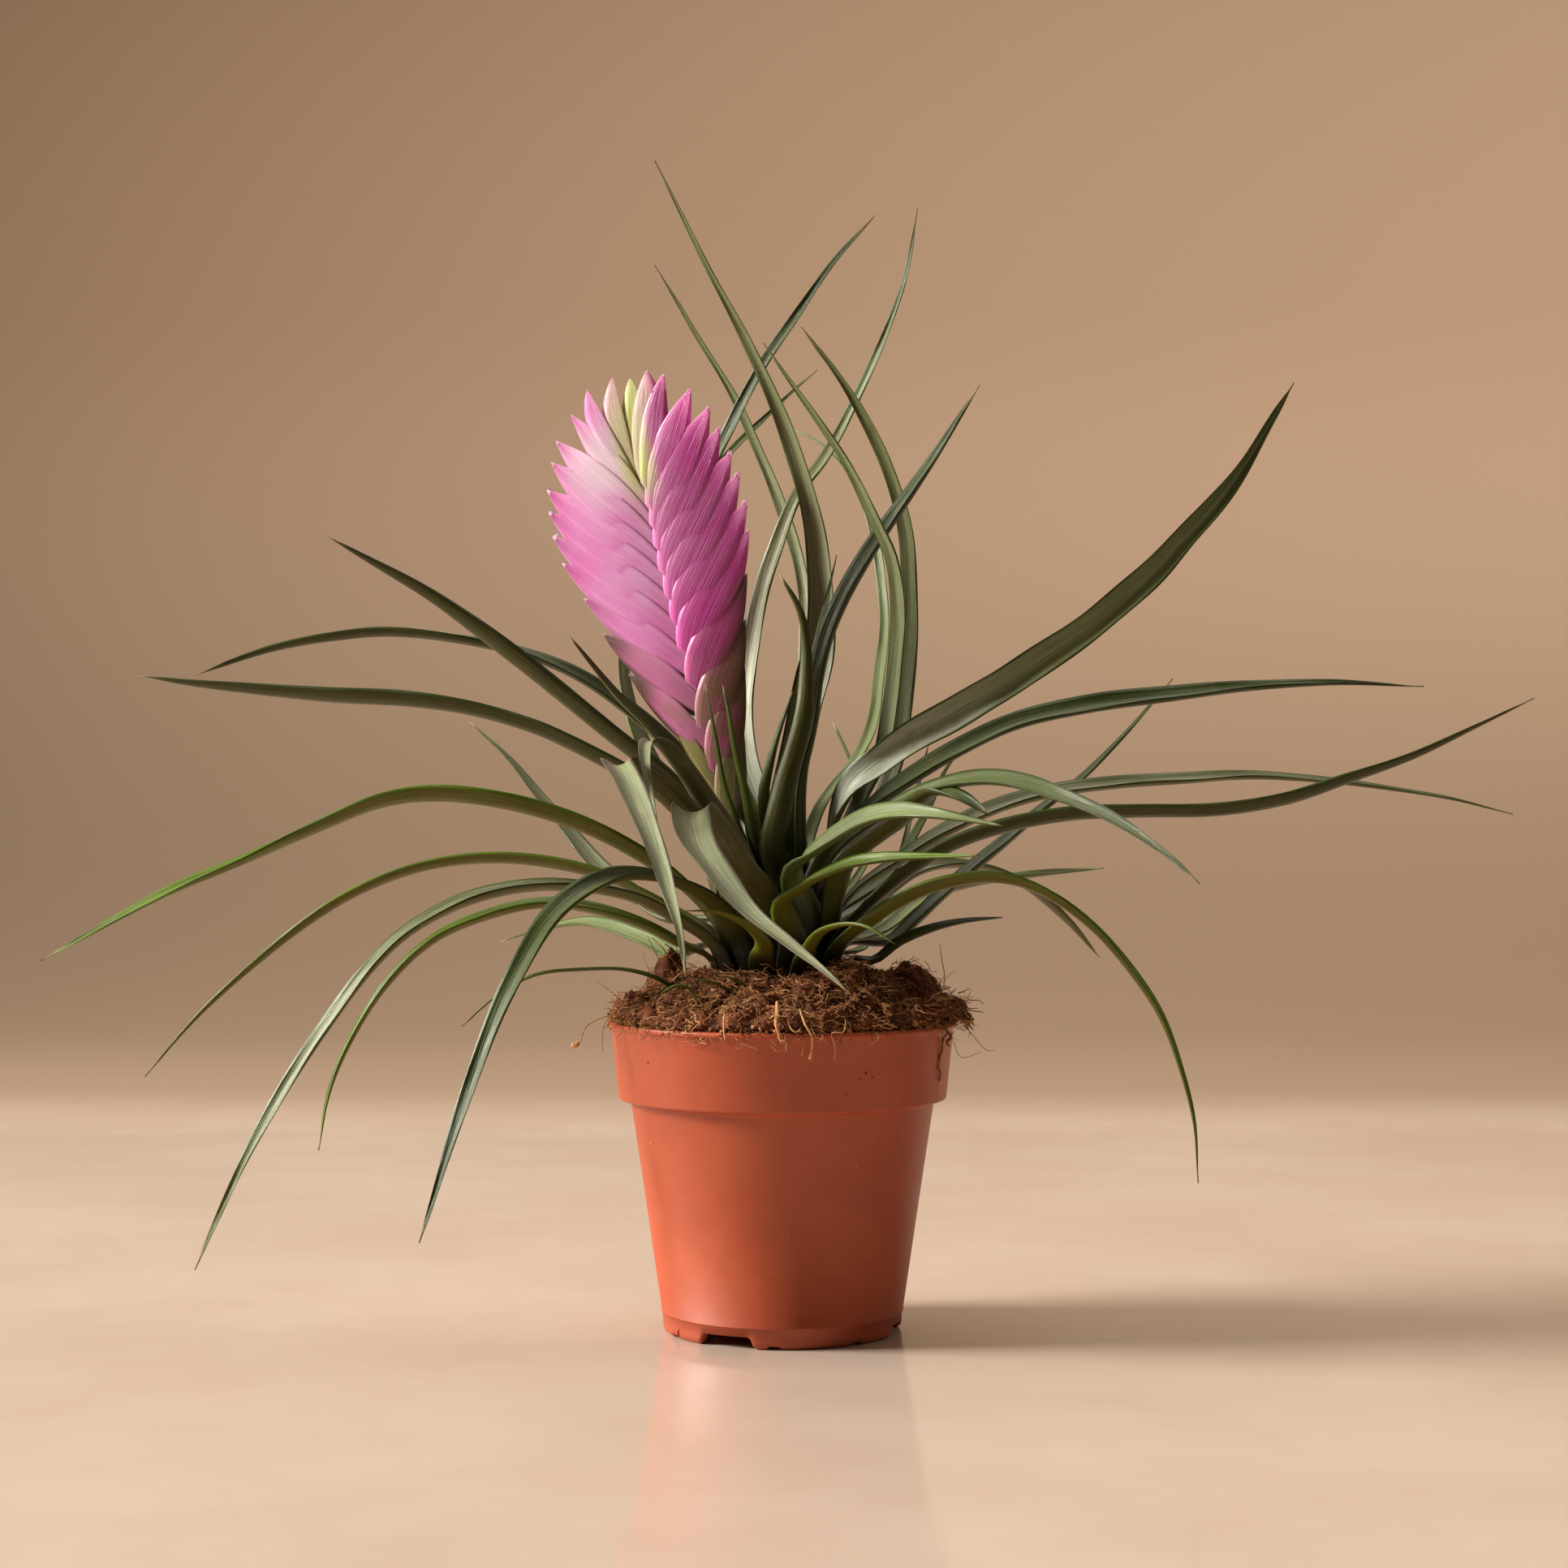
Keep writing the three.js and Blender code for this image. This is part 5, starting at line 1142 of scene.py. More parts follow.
ROWS = {
    -1: Row((0.74, 0.87), (0.6, 0.6), (0.27, 0.27), (-1.6, -1.6), overlap=0.22, sink=0.5, rounding=0.06),
    1: Row((0.74, 0.74), (0.5, 0.68), (0.0, 0.2), (-4.3, -3.4), overlap=0.8, sink=0.25, rounding=0.34),
}


@dataclass(frozen=True)
class SpikeColours:
    """The colours of the flower spike, from its olive foot to its yellow-green top."""

    # light is the paler pink that the left row and the brims lean to, partly painted light.
    deep: str = "fa50c0"
    light: str = "ffa2e6"
    # pale is the near-white pink of the pale spot, partly a painted highlight.
    pale: str = "fce2f0"
    margin: str = "d88aa8"
    olive: str = "453f1c"
    olive_light: str = "837a3c"
    dusky: str = "a5604f"
    cream: str = "efdcb4"
    yellow_green: str = "d6dc6c"
    rose_brown: str = "cf9a92"


@dataclass
class FlowerSpike:
    """The flat paddle of overlapping bracts, which leans to the left, and the stalk that carries it.

    Lengths are along and across the spike from its base. A pair says from where to where along it a
    change takes place, or which values it joins. stalk lists the stalk's middle and its radius.
    """

    effects: Effects
    base: Vector = field(default_factory=lambda: Vector((-15.1, 1.0, 145.4)))
    lean: float = math.radians(13.84)
    turn: float = math.radians(17)
    depth: float = 4.4
    middle: float = -3.4
    half_widths: Pair = (15.0, 26.0)
    widening: Pair = (5.0, 60.0)
    narrowing: Pair = (84.0, 106.0)
    narrowest: float = 0.7
    thinning: Pair = (70.0, 104.0)
    thinnest: float = 0.5
    lower_bracts: Pair = (28.0, 60.0)
    upper_bracts: Pair = (52.0, 78.0)
    keel_drop: float = 9.0
    keel_across: float = 0.6
    keel_sag: float = 4.0
    brim_drop: float = 2.0
    # The pale spot is partly the bracts' own near-white pink and partly a painted highlight from the key
    # light at the upper left.
    pale_and_highlight_spot: Pair = (84.0, -11.5)
    ridge: float = -3.2
    young_across: float = -3.7
    young_sink: float = 0.85
    flush_part: float = 0.4
    brim_part: float = 0.8
    root_share: float = 0.45
    fold_share: float = 0.28
    fold_power: float = 0.7
    least_depth: float = 0.3
    tip_reach: float = 0.8
    wall: float = 0.07
    rows: int = 26
    columns: int = 28
    colours: SpikeColours = SpikeColours()
    stalk: tuple[tuple[float, float, float, float], ...] = (
        (-1, 0, 84.2, 1.9), (-1, 0, 108, 1.9), (-2.6, 0, 122, 1.9), (-8.3, 1, 134, 2.1), (-14.5, 1, 145, 3.0),
    )

    def along(self) -> Vector:
        """Return the direction up the spike."""
        return Vector((-math.sin(self.lean), 0.0, math.cos(self.lean)))

    def across(self) -> Vector:
        """Return the direction across the spike, to the right."""
        return Vector((math.cos(self.lean), 0.0, math.sin(self.lean)))

    def point(self, along: float, across: float, forward: float) -> Vector:
        """Return a place on the spike, whose left side is turned away from the viewer."""
        nearer = forward + math.tan(self.turn) * across
        return self.base + self.along() * along + self.across() * across - Vector((0.0, nearer, 0.0))

    def outline(self, bract: Bract) -> tuple[Sequence[Vector], Sequence[Vector]]:
        """Lay out a bract on the spike.

        Args:
            bract: The bract.

        Returns:
            The start, bend and end of its keel and of its brim, along and across the spike.
        """
        row, (tip_along, tip_across) = ROWS[bract.side], bract.tip
        tip = Vector((tip_along, tip_across))
        if bract.width:
            start = Vector((bract.root, self.young_across))
            middle = start.lerp(tip, 0.6) + Vector((0.0, 2 * bract.offset))
            out = Vector((0.0, bract.side * bract.width))
            return (start, middle + out, tip), (start, middle - out, tip)
        reach = mix(*row.reach, smooth(*self.lower_bracts, bract.root))
        lift, spread, brim = (
            mix(*pair, smooth(*self.upper_bracts, bract.root)) for pair in (row.lift, row.spread, row.brim)
        )
        keel_root = Vector((bract.root - self.keel_drop, self.keel_across * bract.side))
        keel_bend = Vector((mix(bract.root, tip_along, 0.3) - self.keel_sag, reach * tip_across))
        brim_root = Vector((bract.root - self.brim_drop, brim))
        brim_bend = Vector((bract.root + lift * (tip_along - bract.root), mix(brim, tip_across, spread)))
        return (keel_root, keel_bend, tip), (brim_root, brim_bend, tip)

    def face(self, along: float, across: float) -> float:
        """Return how far the paddle's face stands out from its middle plane at a place."""
        half_width = mix(*self.half_widths, smooth(*self.widening, along))
        half_width *= mix(1.0, self.narrowest, smooth(*self.narrowing, along))
        away = min(1.0, abs(across - self.middle) / half_width)
        return self.depth * mix(1.0, self.thinnest, smooth(*self.thinning, along)) * (1 - away**2)

    def bract_shape(self, bract: Bract) -> Mesh:
        """Make one bract: a folded boat whose keel is its outer lower edge and whose brims clasp the spike.

        Args:
            bract: Where the bract lies.

        Returns:
            Its thin closed shell.
        """
        keel, brim = self.outline(bract)
        row = ROWS[bract.side]

        def curve(three: Sequence[Vector], share: float) -> Vector:
            """Return a place on the curve from the first point round the second to the third."""
            start, bend, end = three
            return start * (1 - share) ** 2 + bend * (2 * share * (1 - share)) + end * share**2

        def place(column: float, share: float) -> Vertex:
            """Put a vertex on the bract, from its front brim round the keel to its back brim."""
            from_keel = 1 - 2 * column
            part = abs(from_keel)
            flat = curve(keel, share).lerp(curve(brim, share), part)
            rise = self.face(flat.x, flat.y)
            if bract.width:
                rise = self.young_sink * rise + bract.level
            else:
                rise += row.overlap * (part - self.flush_part)
            rise -= row.sink * smooth(self.root_share, 0.0, share)
            rise -= row.rounding * smooth(self.brim_part, 1.0, part)
            fold = math.sin(math.pi / 2 * min(1.0, part / self.fold_share)) ** self.fold_power
            forward = max(self.least_depth, rise) * fold * (1 - share**4)
            return self.point(flat.x, flat.y, math.copysign(forward, from_keel)), Vector((part, share, 0.0))

        bm = warped_grid(self.columns, self.rows, place, closed=False)
        bmesh.ops.remove_doubles(bm, verts=bm.verts, dist=WELD)
        bmesh.ops.recalc_face_normals(bm, faces=bm.faces)
        middle = self.point(mix(bract.root, bract.tip[0], 0.4), 0.4 * bract.tip[1], 0.0) * MM
        outer = max(bm.faces, key=lambda face: -face.calc_center_median().y)
        if outer.normal.dot(outer.calc_center_median() - middle) < 0:
            bmesh.ops.reverse_faces(bm, faces=bm.faces)
        bmesh.ops.solidify(bm, geom=bm.faces, thickness=self.wall * MM)
        tip = self.point(*bract.tip, 0.0) * MM
        ends = [vertex for vertex in bm.verts if (vertex.co - tip).length < self.tip_reach * MM]
        bmesh.ops.pointmerge(bm, verts=ends, merge_co=tip)
        return mesh_of("bract", bm)

    def material(self, name: str) -> Material:
        """Make the bracts' material, which turns olive at the spike's foot and yellow-green at its top.

        Args:
            name: The material's name.

        Returns:
            A material that reads the bract's marks and nature.
        """
        colours = self.colours
        nodes = Finish(name)
        up_bract, share = nodes.marks()[:2]
        green, young, left = nodes.marks("nature")
        place = nodes.place()
        offset = nodes.vector("SUBTRACT", place, self.base * MM)
        along = nodes.vector("DOT_PRODUCT", offset, self.along() / MM)
        across = nodes.vector("DOT_PRODUCT", offset, self.across() / MM)
        lines = nodes.group(self.effects.lines, across=up_bract, along=share * 3.0, count=44.0,
                            seed=(along + across) * 0.01)
        blotches = nodes.group(self.effects.blotches, place=place, per_metre=90.0)
        # Painted light: the left row is made lighter, partly its own paler pink and partly the light of the
        # key from the left.
        light = left * 0.5 + nodes.rise(blotches, 0.3, 0.7, 0.0, 0.36)
        # Painted highlight: each bract is made lighter towards its brim, partly its own paler brim and partly
        # a highlight where the brims catch the light.
        light = light + nodes.rise(up_bract, 0.5, 1.0, 0.0, 0.24) + nodes.rise(along, 25.0, 60.0, -0.3, 0.0)
        light = light + nodes.rise(share, 0.45, 1.0, 0.1, -0.3)
        colour = nodes.blend(light.clamped(), tint(colours.deep), tint(colours.light))
        # Painted highlight: near-white pink round the pale spot, partly the bracts' own colour.
        to_pale = nodes.math("SQRT", (along - self.pale_and_highlight_spot[0]) ** 2.0 + (across - self.pale_and_highlight_spot[1]) ** 2.0)
        colour = nodes.blend(nodes.rise(to_pale, 2.0, 16.0, 0.7, 0.0), colour, tint(colours.pale))
        near_middle = nodes.rise(abs(across - self.ridge), 0.5, 6.5, 1.0, 0.0)
        creamy = near_middle * nodes.rise(along, 62.0, 86.0) * nodes.rise(share, 0.5, 0.95, 1.0, 0.05)
        yellow = near_middle * nodes.rise(along, 70.0, 80.0) * nodes.rise(along, 92.0, 101.0, 0.85, 0.25)
        yellow = nodes.math("MAXIMUM", yellow, nodes.rise(young, 0.8, 1.0, 0.0, 0.92))
        rosy = nodes.rise(young, 0.4, 0.55) * nodes.rise(young, 0.7, 0.9, 0.8, 0.0)
        dusky = nodes.rise(green, 0.1, 0.7, 0.0, 0.8) * nodes.rise(blotches, 0.3, 0.62, 0.5, 1.0)
        olive_share = (green + (blotches - 0.5)).clamped()
        edge = nodes.math("MAXIMUM", nodes.rise(share, 0.62, 0.92), nodes.rise(up_bract, 0.26, 0.0))
        colour = nodes.layered(nodes.shaded(colour, lines * 0.16 + 0.88), (
            (creamy * 0.85, colours.cream),
            (yellow, colours.yellow_green),
            (rosy * nodes.rise(up_bract, 0.1, 0.7, 0.3, 1.0), colours.rose_brown),
            (rosy * nodes.rise(share, 0.35, 0.85, 0.85, 0.1), colours.cream),
            (dusky, colours.dusky),
            (nodes.rise(olive_share, 0.55, 1.0, 0.0, 0.9), colours.olive_light),
            (edge * nodes.rise(green, 0.05, 0.45) * 0.85, colours.olive),
            (nodes.rise(up_bract, 0.96, 0.99, 0.0, 0.4), colours.margin),
            (nodes.rise(share, 0.94, 1.0, 0.0, 0.6), colours.dusky),
        ))
        inputs = {
            "Base Color": colour,
            "Roughness": nodes.rise(lines, 0.0, 1.0, 0.42, 0.34),
            "Subsurface Weight": 0.45,
            "Subsurface Radius": (1.0, 0.4, 0.8),
            "Subsurface Scale": 5 * MM,
        }
        return nodes.done(inputs, lines * 0.8 + blotches * 0.8, 0.06)

    def stalk_material(self) -> Material:
        """Make the material of the green stalk, with a net of paler veins."""
        nodes = Finish("stalk_green")
        place = nodes.place()
        net = {"Vector": place, "Scale": 420.0}
        cells = nodes.add("ShaderNodeTexVoronoi", net, feature="DISTANCE_TO_EDGE")
        veins = nodes.rise(nodes.value(cells), 0.02, 0.12, 0.45, 0.0)
        colour = nodes.layered(tint("5c6a26"), ((nodes.noise(place, 90.0), "9a9c52"), (veins, "b9b884")))
        return nodes.done({"Base Color": colour, "Roughness": 0.42}, veins, 0.08)

    def group(self, name: str, bracts: Sequence[Bract]) -> Mesh:
        """Make several bracts as one mesh."""
        # The third value marks the left row, which the material paints lighter, partly as painted light from
        # the left.
        natures = [Vector((bract.green, bract.young, float(bract.side < 0))) for bract in bracts]
        return assembled(name, [self.bract_shape(bract) for bract in bracts], each_once(natures))

    def build(self) -> None:
        """Make the stalk and the bracts."""
        pink, young, green = (self.material(f"bract_{kind}") for kind in ("pink", "young", "green"))
        paddle = show("pink_bracts", self.group("pink_bracts", PINK_BRACTS), pink)
        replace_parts(paddle, "flower_spike")
        tip = show("young_bracts", self.group("young_bracts", YOUNG_BRACTS), young)
        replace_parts(tip, "flower_spike_tip")
        show("stem_bracts", self.group("stem_bracts", STEM_BRACTS), green)
        middle = Route([Vector(row[:3]) for row in self.stalk])
        shares = np.linspace(0.0, 1.0, len(self.stalk))
        radii = [row[3] for row in self.stalk]

        def radius(along: float) -> float:
            """Return the stalk's radius at a share of its length."""
            return float(np.interp(along, shares, radii))

        shape = mesh_of("stalk", tube(middle, radius, Vector((0.0, -1.0, 0.0)), 24, 40))
        stalk = assembled("stalk", [shape], each_once([Vector()]))
        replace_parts(show("flower_stalk", stalk, self.stalk_material()), "stem")


# Pot


@dataclass(frozen=True)
class FootCuts:
    """Gaps in the pot's foot: their bearings, height and span in degrees."""

    bearings: tuple[float, ...]
    height: float
    span: float

    def lift(self, bearing: float) -> float:
        """Return how high the foot's edge is raised at a bearing."""
        away = min(abs((bearing - own + 180) % 360 - 180) for own in self.bearings)
        return self.height * (1 - smooth(0.42 * self.span, 0.53 * self.span, away))


@dataclass
class Pot:
    """The moulded nursery pot with its collar, beaded rim and notched foot."""

    effects: Effects
    height: float = 79.8
    rim_radius: float = 45.0
    bead_height: float = 1.6
    collar_top_radius: float = 44.15
    collar_foot_radius: float = 42.4
    collar_foot_height: float = 60.2
    body_top_radius: float = 39.1
    body_top_height: float = 59.4
    parting_radius: float = 31.15
    parting_height: float = 5.35
    foot_radius: float = 30.85
    contact_outer: float = 29.7
    contact_inner: float = 28.4
    wall: float = 0.9
    floor_underside: float = 3.6
    floor_top: float = 4.8
    steps: int = 288
    notches: FootCuts = FootCuts((-28, 78, 152, 258), 3.1, 29)
    slits: FootCuts = FootCuts((-63, -4, 37.6, 117, 176, 217.6), 0.9, 6)
    hole_count: int = 6
    hole_circle: float = 20.0
    hole_radius: float = 3.5
    hole_sides: int = 40
    drill_length: float = 10.0

    def profile(self) -> list[Pair]:
        """Return the outline that is turned into the pot, from under its floor to the floor's top."""
        rim, top, bead = self.rim_radius, self.height, self.height - self.bead_height
        collar_top = self.collar_top_radius
        collar_foot, collar_up = self.collar_foot_radius, self.collar_foot_height
        body, body_up = self.body_top_radius, self.body_top_height
        parting, parting_up = self.parting_radius, self.parting_height
        foot, contact, wall = self.foot_radius, self.contact_inner, self.wall
        return [
            (0, self.floor_underside),
            (contact - 0.6, self.floor_underside),
            (contact - 0.1, self.floor_underside - 0.4),
            (contact, 0.2),
            (contact + 0.3, 0),
            (self.contact_outer, 0),
            (foot - 0.45, 0.45),
            (foot - 0.12, 1.1),
            (foot, 2.0),
            (foot + 0.1, parting_up - 0.25),
            (parting + 0.16, parting_up - 0.08),
            (parting + 0.2, parting_up + 0.08),
            (parting + 0.05, parting_up + 0.28),
            (mix(parting, body, 0.5), mix(parting_up, body_up, 0.5)),
            (body - 0.05, body_up - 0.9),
            (body + 0.35, body_up - 0.25),
            (collar_foot - 0.75, collar_up - 0.42),
            (collar_foot - 0.2, collar_up - 0.25),
            (collar_foot, collar_up + 0.3),
            (collar_top - 0.03, bead - 0.35),
            (collar_top + 0.25, bead + 0.05),
            (rim - 0.12, bead + 0.3),
            (rim, bead + 0.6),
            (rim, top - 0.5),
            (rim - 0.16, top - 0.14),
            (rim - 0.5, top),
            (collar_top - wall + 0.4, top),
            (collar_top - wall, top - 0.5),
            (collar_foot - wall, collar_up + 1.4),
            (body - wall, body_up + 0.6),
            (parting - wall, self.floor_top),
            (0, self.floor_top),
        ]

    def shell(self) -> Mesh:
        """Turn the outline round the pot's axis, raise the foot at its notches and cut the drain holes."""
        bm = bmesh.new()
        spots = [bm.verts.new(Vector((radius, 0.0, up)) * MM) for radius, up in self.profile()]
        edges = [bm.edges.new(pair) for pair in zip(spots, spots[1:])]
        bmesh.ops.spin(bm, geom=[*spots, *edges], axis=(0, 0, 1), cent=(0, 0, 0), angle=math.tau,
                       steps=self.steps, use_merge=True, use_normal_flip=False)
        bmesh.ops.remove_doubles(bm, verts=bm.verts, dist=WELD)
        bmesh.ops.recalc_face_normals(bm, faces=bm.faces)
        for vertex in bm.verts:
            bearing = math.degrees(math.atan2(vertex.co.x, -vertex.co.y))
            lift = max(self.notches.lift(bearing), self.slits.lift(bearing)) * MM
            if vertex.co.xy.length > (self.contact_inner - 0.3) * MM:
                vertex.co.z = max(vertex.co.z, lift)
        shell = mesh_of("pot_shell", bm)
        return self.drained(shell)

    def drained(self, shell: Mesh) -> Mesh:
        """Cut the drain holes through the pot's floor.

        Args:
            shell: The pot without holes, which is used up.

        Returns:
            The pot's mesh.
        """
        bm = bmesh.new()
        radius = self.hole_radius * MM
        for index in range(self.hole_count):
            spot = at_bearing(360 / self.hole_count * (index + 0.5), self.hole_circle, self.floor_top)
            bmesh.ops.create_cone(bm, cap_ends=True, segments=self.hole_sides, radius1=radius, radius2=radius,
                                  depth=self.drill_length * MM, matrix=Matrix.Translation(spot * MM))
        pot = new_object("pot_blank", shell)
        cutter = new_object("cutter", mesh_of("cutter", bm))
        cut = pot.modifiers.new("drain_holes", "BOOLEAN")
        cut.operation, cut.object, cut.solver = "DIFFERENCE", cutter, "EXACT"
        evaluated = pot.evaluated_get(bpy.context.evaluated_depsgraph_get())
        mesh = bpy.data.meshes.new_from_object(evaluated)
        for each in (pot, cutter):
            own = each.data
            bpy.data.objects.remove(each)
            bpy.data.meshes.remove(own)
        return mesh

    def material(self) -> Material:
        """Make the satin terracotta-coloured plastic, with dust and a few fine scratches."""
        nodes = Finish("pot_plastic")
        place = nodes.place()
        x, y, z = nodes.parts(place)
        around = nodes.math("ARCTAN2", x, y * -1.0)
        blotches = nodes.group(self.effects.blotches, place=place, per_metre=38.0)
        dust = nodes.group(self.effects.specks, place=place, per_metre=330.0, share=0.05, reach=0.12)
        fine_dust = nodes.group(self.effects.specks, place=place, per_metre=1300.0, share=0.02, reach=0.3)
        scratch_place = nodes.joined(around * 22.0, z * 420.0, around * 60.0)
        scratches = nodes.rise(nodes.noise(scratch_place, 1.0, 2.0), 0.735, 0.77)
        worn = nodes.rise(nodes.noise(place, 48.0, 2.0), 0.54, 0.62)
        colour = nodes.layered(tint("aa4826"), (
            (nodes.rise(blotches, 0.38, 0.64), "b4522e"),
            (nodes.rise(z, 0.0, 0.022, 0.28, 0.0), "a04e36"),
            (fine_dust * 0.3, "dfa98c"),
            (dust * 0.75, "efcdb6"),
            (scratches * worn * 0.3, "dc9a78"),
        ))
        grain, dents = nodes.noise(place, 1500.0, 2.0), nodes.noise(place, 210.0, 2.0)
        roughness = nodes.rise(blotches, 0.3, 0.7, 0.44, 0.52) + dust * 0.3
        return nodes.done({"Base Color": colour, "Roughness": roughness}, grain * 0.5 + dents * 0.5, 0.05)

    def build(self) -> None:
        """Make the pot, the weld line down its collar and the small drip by its foot."""
        plastic = self.material()
        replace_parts(show("pot_shell", self.shell(), plastic), "pot")
        weld = [at_bearing(66.5, self.collar_foot_radius - 0.06, self.collar_foot_height + 0.6),
                at_bearing(66.8, self.collar_top_radius - 0.06, self.height - self.bead_height)]
        drip = [at_bearing(-59, self.foot_radius - 0.2, 0.6), at_bearing(-59, self.foot_radius + 0.02, 1.6),
                at_bearing(-58.6, self.foot_radius, 2.8)]
        shapes = [mesh_of("weld", thread(Route(weld), 0.2, 6, 12)),
                  mesh_of("drip", thread(Route(drip), 0.42, 8, 10))]
        marks = assembled("pot_marks", shapes, each_once([Vector(), Vector()]))
        show("pot_moulding_marks", marks, plastic)


# Coir


@dataclass(frozen=True)
class Lump:
    """A rise or a hollow in the coir: its place, height and spread."""

    x: float
    y: float
    rise: float
    spread: float


@dataclass(frozen=True)
class Strand:
    """A loose strand: the places that it passes through, as Eye.seen takes them, its radius and lightness."""

    route: tuple[Spot, ...]
    radius: float
    lightness: float


@dataclass(frozen=True)
class Tangle:
    """Curled fibres that lie over the mound in all directions.

    length is a fibre's before it is scaled, radius its thickness in the middle and rows its steps. light
    says how light the fibres tend to be.
    """

    name: str
    count: int
    length: float
    radius: float
    rows: int
    light: float


LUMPS = (
    Lump(34.5, 3, 5.4, 6.5), Lump(44.5, -6, 1.8, 4), Lump(16, -20, 3.4, 6), Lump(-30.5, 7, 7.0, 4.6),
    Lump(12, 30, 3.5, 9), Lump(-12, -31, 1.8, 7), Lump(22, -26, 2.4, 7), Lump(-38, -8, 1.4, 5),
    Lump(6, -33, 1.6, 5), Lump(38, -19, 1.6, 4), Lump(16, 8, 2.2, 6),
)
HOLLOWS = (
    Lump(34, -10.5, -7.0, 5.0), Lump(27, -6, -3.0, 2.6), Lump(4.6, -38, -2.4, 2.2),
    Lump(-18, -30, -2.8, 2.4), Lump(-33, -2, -2.2, 2.2), Lump(24, -34, -2.0, 2.0),
    Lump(-4, 33, -2.5, 4.0), Lump(-36, 18, -2.0, 3.0), Lump(29, -21, -2.4, 2.0),
)
# From the left of the pot to the right
STRANDS = (
    Strand(((-40, 81.5, -17), (-45.4, 80.7, -19), (-50.6, 78.2, -20), (-52, 75.2, -21),
            (-52.3, 73.8, -21), (-54, 73.2, -21)), 0.2, 0.9),
    Strand(((-52.6, 73.9, -21), (-53.6, 73.1, -21), (-54.6, 73.6, -21)), 0.75, 1.0),
    Strand(((-41, 84, -8), (-43.5, 86.4, -9), (-48.3, 89.9, -10)), 0.07, 0.3),
    Strand(((-42.5, 80.5, -12), (-45.6, 79.4, -13), (-46.6, 75, -13), (-46.4, 71.2, -13)), 0.09, 0.3),
    Strand(((-15, 81.5, -41), (-15.2, 79.4, -44.5), (-15.1, 76.7, -44.8),
            (-14.9, 74.2, -44.3)), 0.2, 1.0),
    Strand(((-1.4, 84.5, -38), (-1.3, 81, -43), (-1.6, 78.6, -45.8), (-0.8, 75.8, -46.2)), 0.62, 0.8),
    Strand(((-1.2, 77.8, -46.2), (-0.9, 75.4, -46.2), (-0.3, 73.4, -45.9)), 0.2, 0.9),
    Strand(((1, 80.5, -43), (2.4, 77.2, -46), (3.6, 76.5, -46.2), (4.8, 77.6, -46.1)), 0.2, 0.9),
    Strand(((4.4, 82.6, -41), (5.9, 78.5, -45.7), (7.7, 75.2, -45.9), (7.3, 70, -45.4)), 0.27, 0.95),
    Strand(((7.7, 71.4, -45.6), (7.2, 69.8, -45.5), (6.8, 69.6, -45.4)), 0.5, 0.9),
    Strand(((7.4, 78, -45.5), (8.8, 75.2, -45.5), (10.4, 75, -45.4), (11.8, 73.3, -45)), 0.14, 0.9),
    Strand(((16.4, 80, -41), (15.7, 76.6, -44), (12.8, 76.3, -44.6), (13.6, 72.7, -44),
            (13.4, 69, -43.7)), 0.17, 1.0),
    Strand(((41.5, 80, -18), (42.6, 76.4, -18.6), (41.6, 74.8, -18.6), (41.2, 71.6, -18.2),
            (40.1, 68.3, -18.6), (40.9, 66, -17.6), (40.5, 63.8, -17.4)), 0.3, 0.05),
    Strand(((42.6, 77.2, -18), (43.6, 75.2, -18), (42.4, 74, -18.2), (43.4, 72.8, -18)), 0.42, 0.1),
    Strand(((44, 82, -9), (46.3, 79.3, -10), (49.3, 75.7, -11), (52.9, 71.9, -11),
            (55.1, 71.8, -11)), 0.1, 0.1),
    Strand(((43.6, 77, -12), (44.5, 73.4, -13), (46.3, 70.1, -13), (51.5, 71.4, -13)), 0.09, 0.5),
    Strand(((41, 86, 3), (41.9, 91.1, 3), (41.2, 95.5, 3), (40.7, 99.6, 3)), 0.1, 0.1),
    Strand(((38, 88, 4), (37.8, 91.4, 4), (36.3, 93.7, 4), (33.4, 95.5, 4)), 0.09, 0.2),
    Strand(((42, 87, 2), (42.2, 90.4, 2), (44.9, 92.5, 2)), 0.08, 0.2),
    Strand(((35, 89, 4), (33.8, 91.8, 4), (31.2, 93.3, 4)), 0.08, 0.3),
    Strand(((46.6, 81.6, -6), (47.8, 84.8, -6), (48.9, 87.8, -6)), 0.08, 0.3),
    Strand(((47, 82.6, -8), (49.6, 82, -8), (51.6, 81.8, -8), (52.2, 81.6, -8)), 0.16, 0.5),
    Strand(((-31, 91, 5), (-32.1, 95.5, 5), (-34, 99.6, 5), (-34.9, 101.5, 5)), 0.1, 0.1),
    Strand(((-34, 91, 6), (-35.5, 94.8, 6), (-36.1, 97.3, 6)), 0.08, 0.5),
)
# Crumbs that stick to the pot, as Eye.seen takes places, and their size
STUCK = (
    (-34.4, 68.9, -27.5, 0.8), (-28.6, 73, -34, 0.45), (-13.5, 61.8, -40.4, 0.7),
    (-6.2, 60.4, -42.2, 0.35), (16.4, 60.3, -39.6, 0.5), (21.6, 66, -38.2, 0.4), (23.4, 64.8, -37, 0.4),
    (20.2, 64.2, -38.8, 0.3), (-17.9, 36.7, -31.5, 0.75), (32.6, 72.4, -30.4, 0.4),
)
TANGLES = (
    Tangle("coir_fibres", 4400, 7.0, 0.13, 7, 0.3),
    Tangle("coir_fine_fibres", 4400, 4.2, 0.07, 6, 0.3),
    Tangle("coir_strands", 170, 12.0, 0.2, 18, 0.5),
)


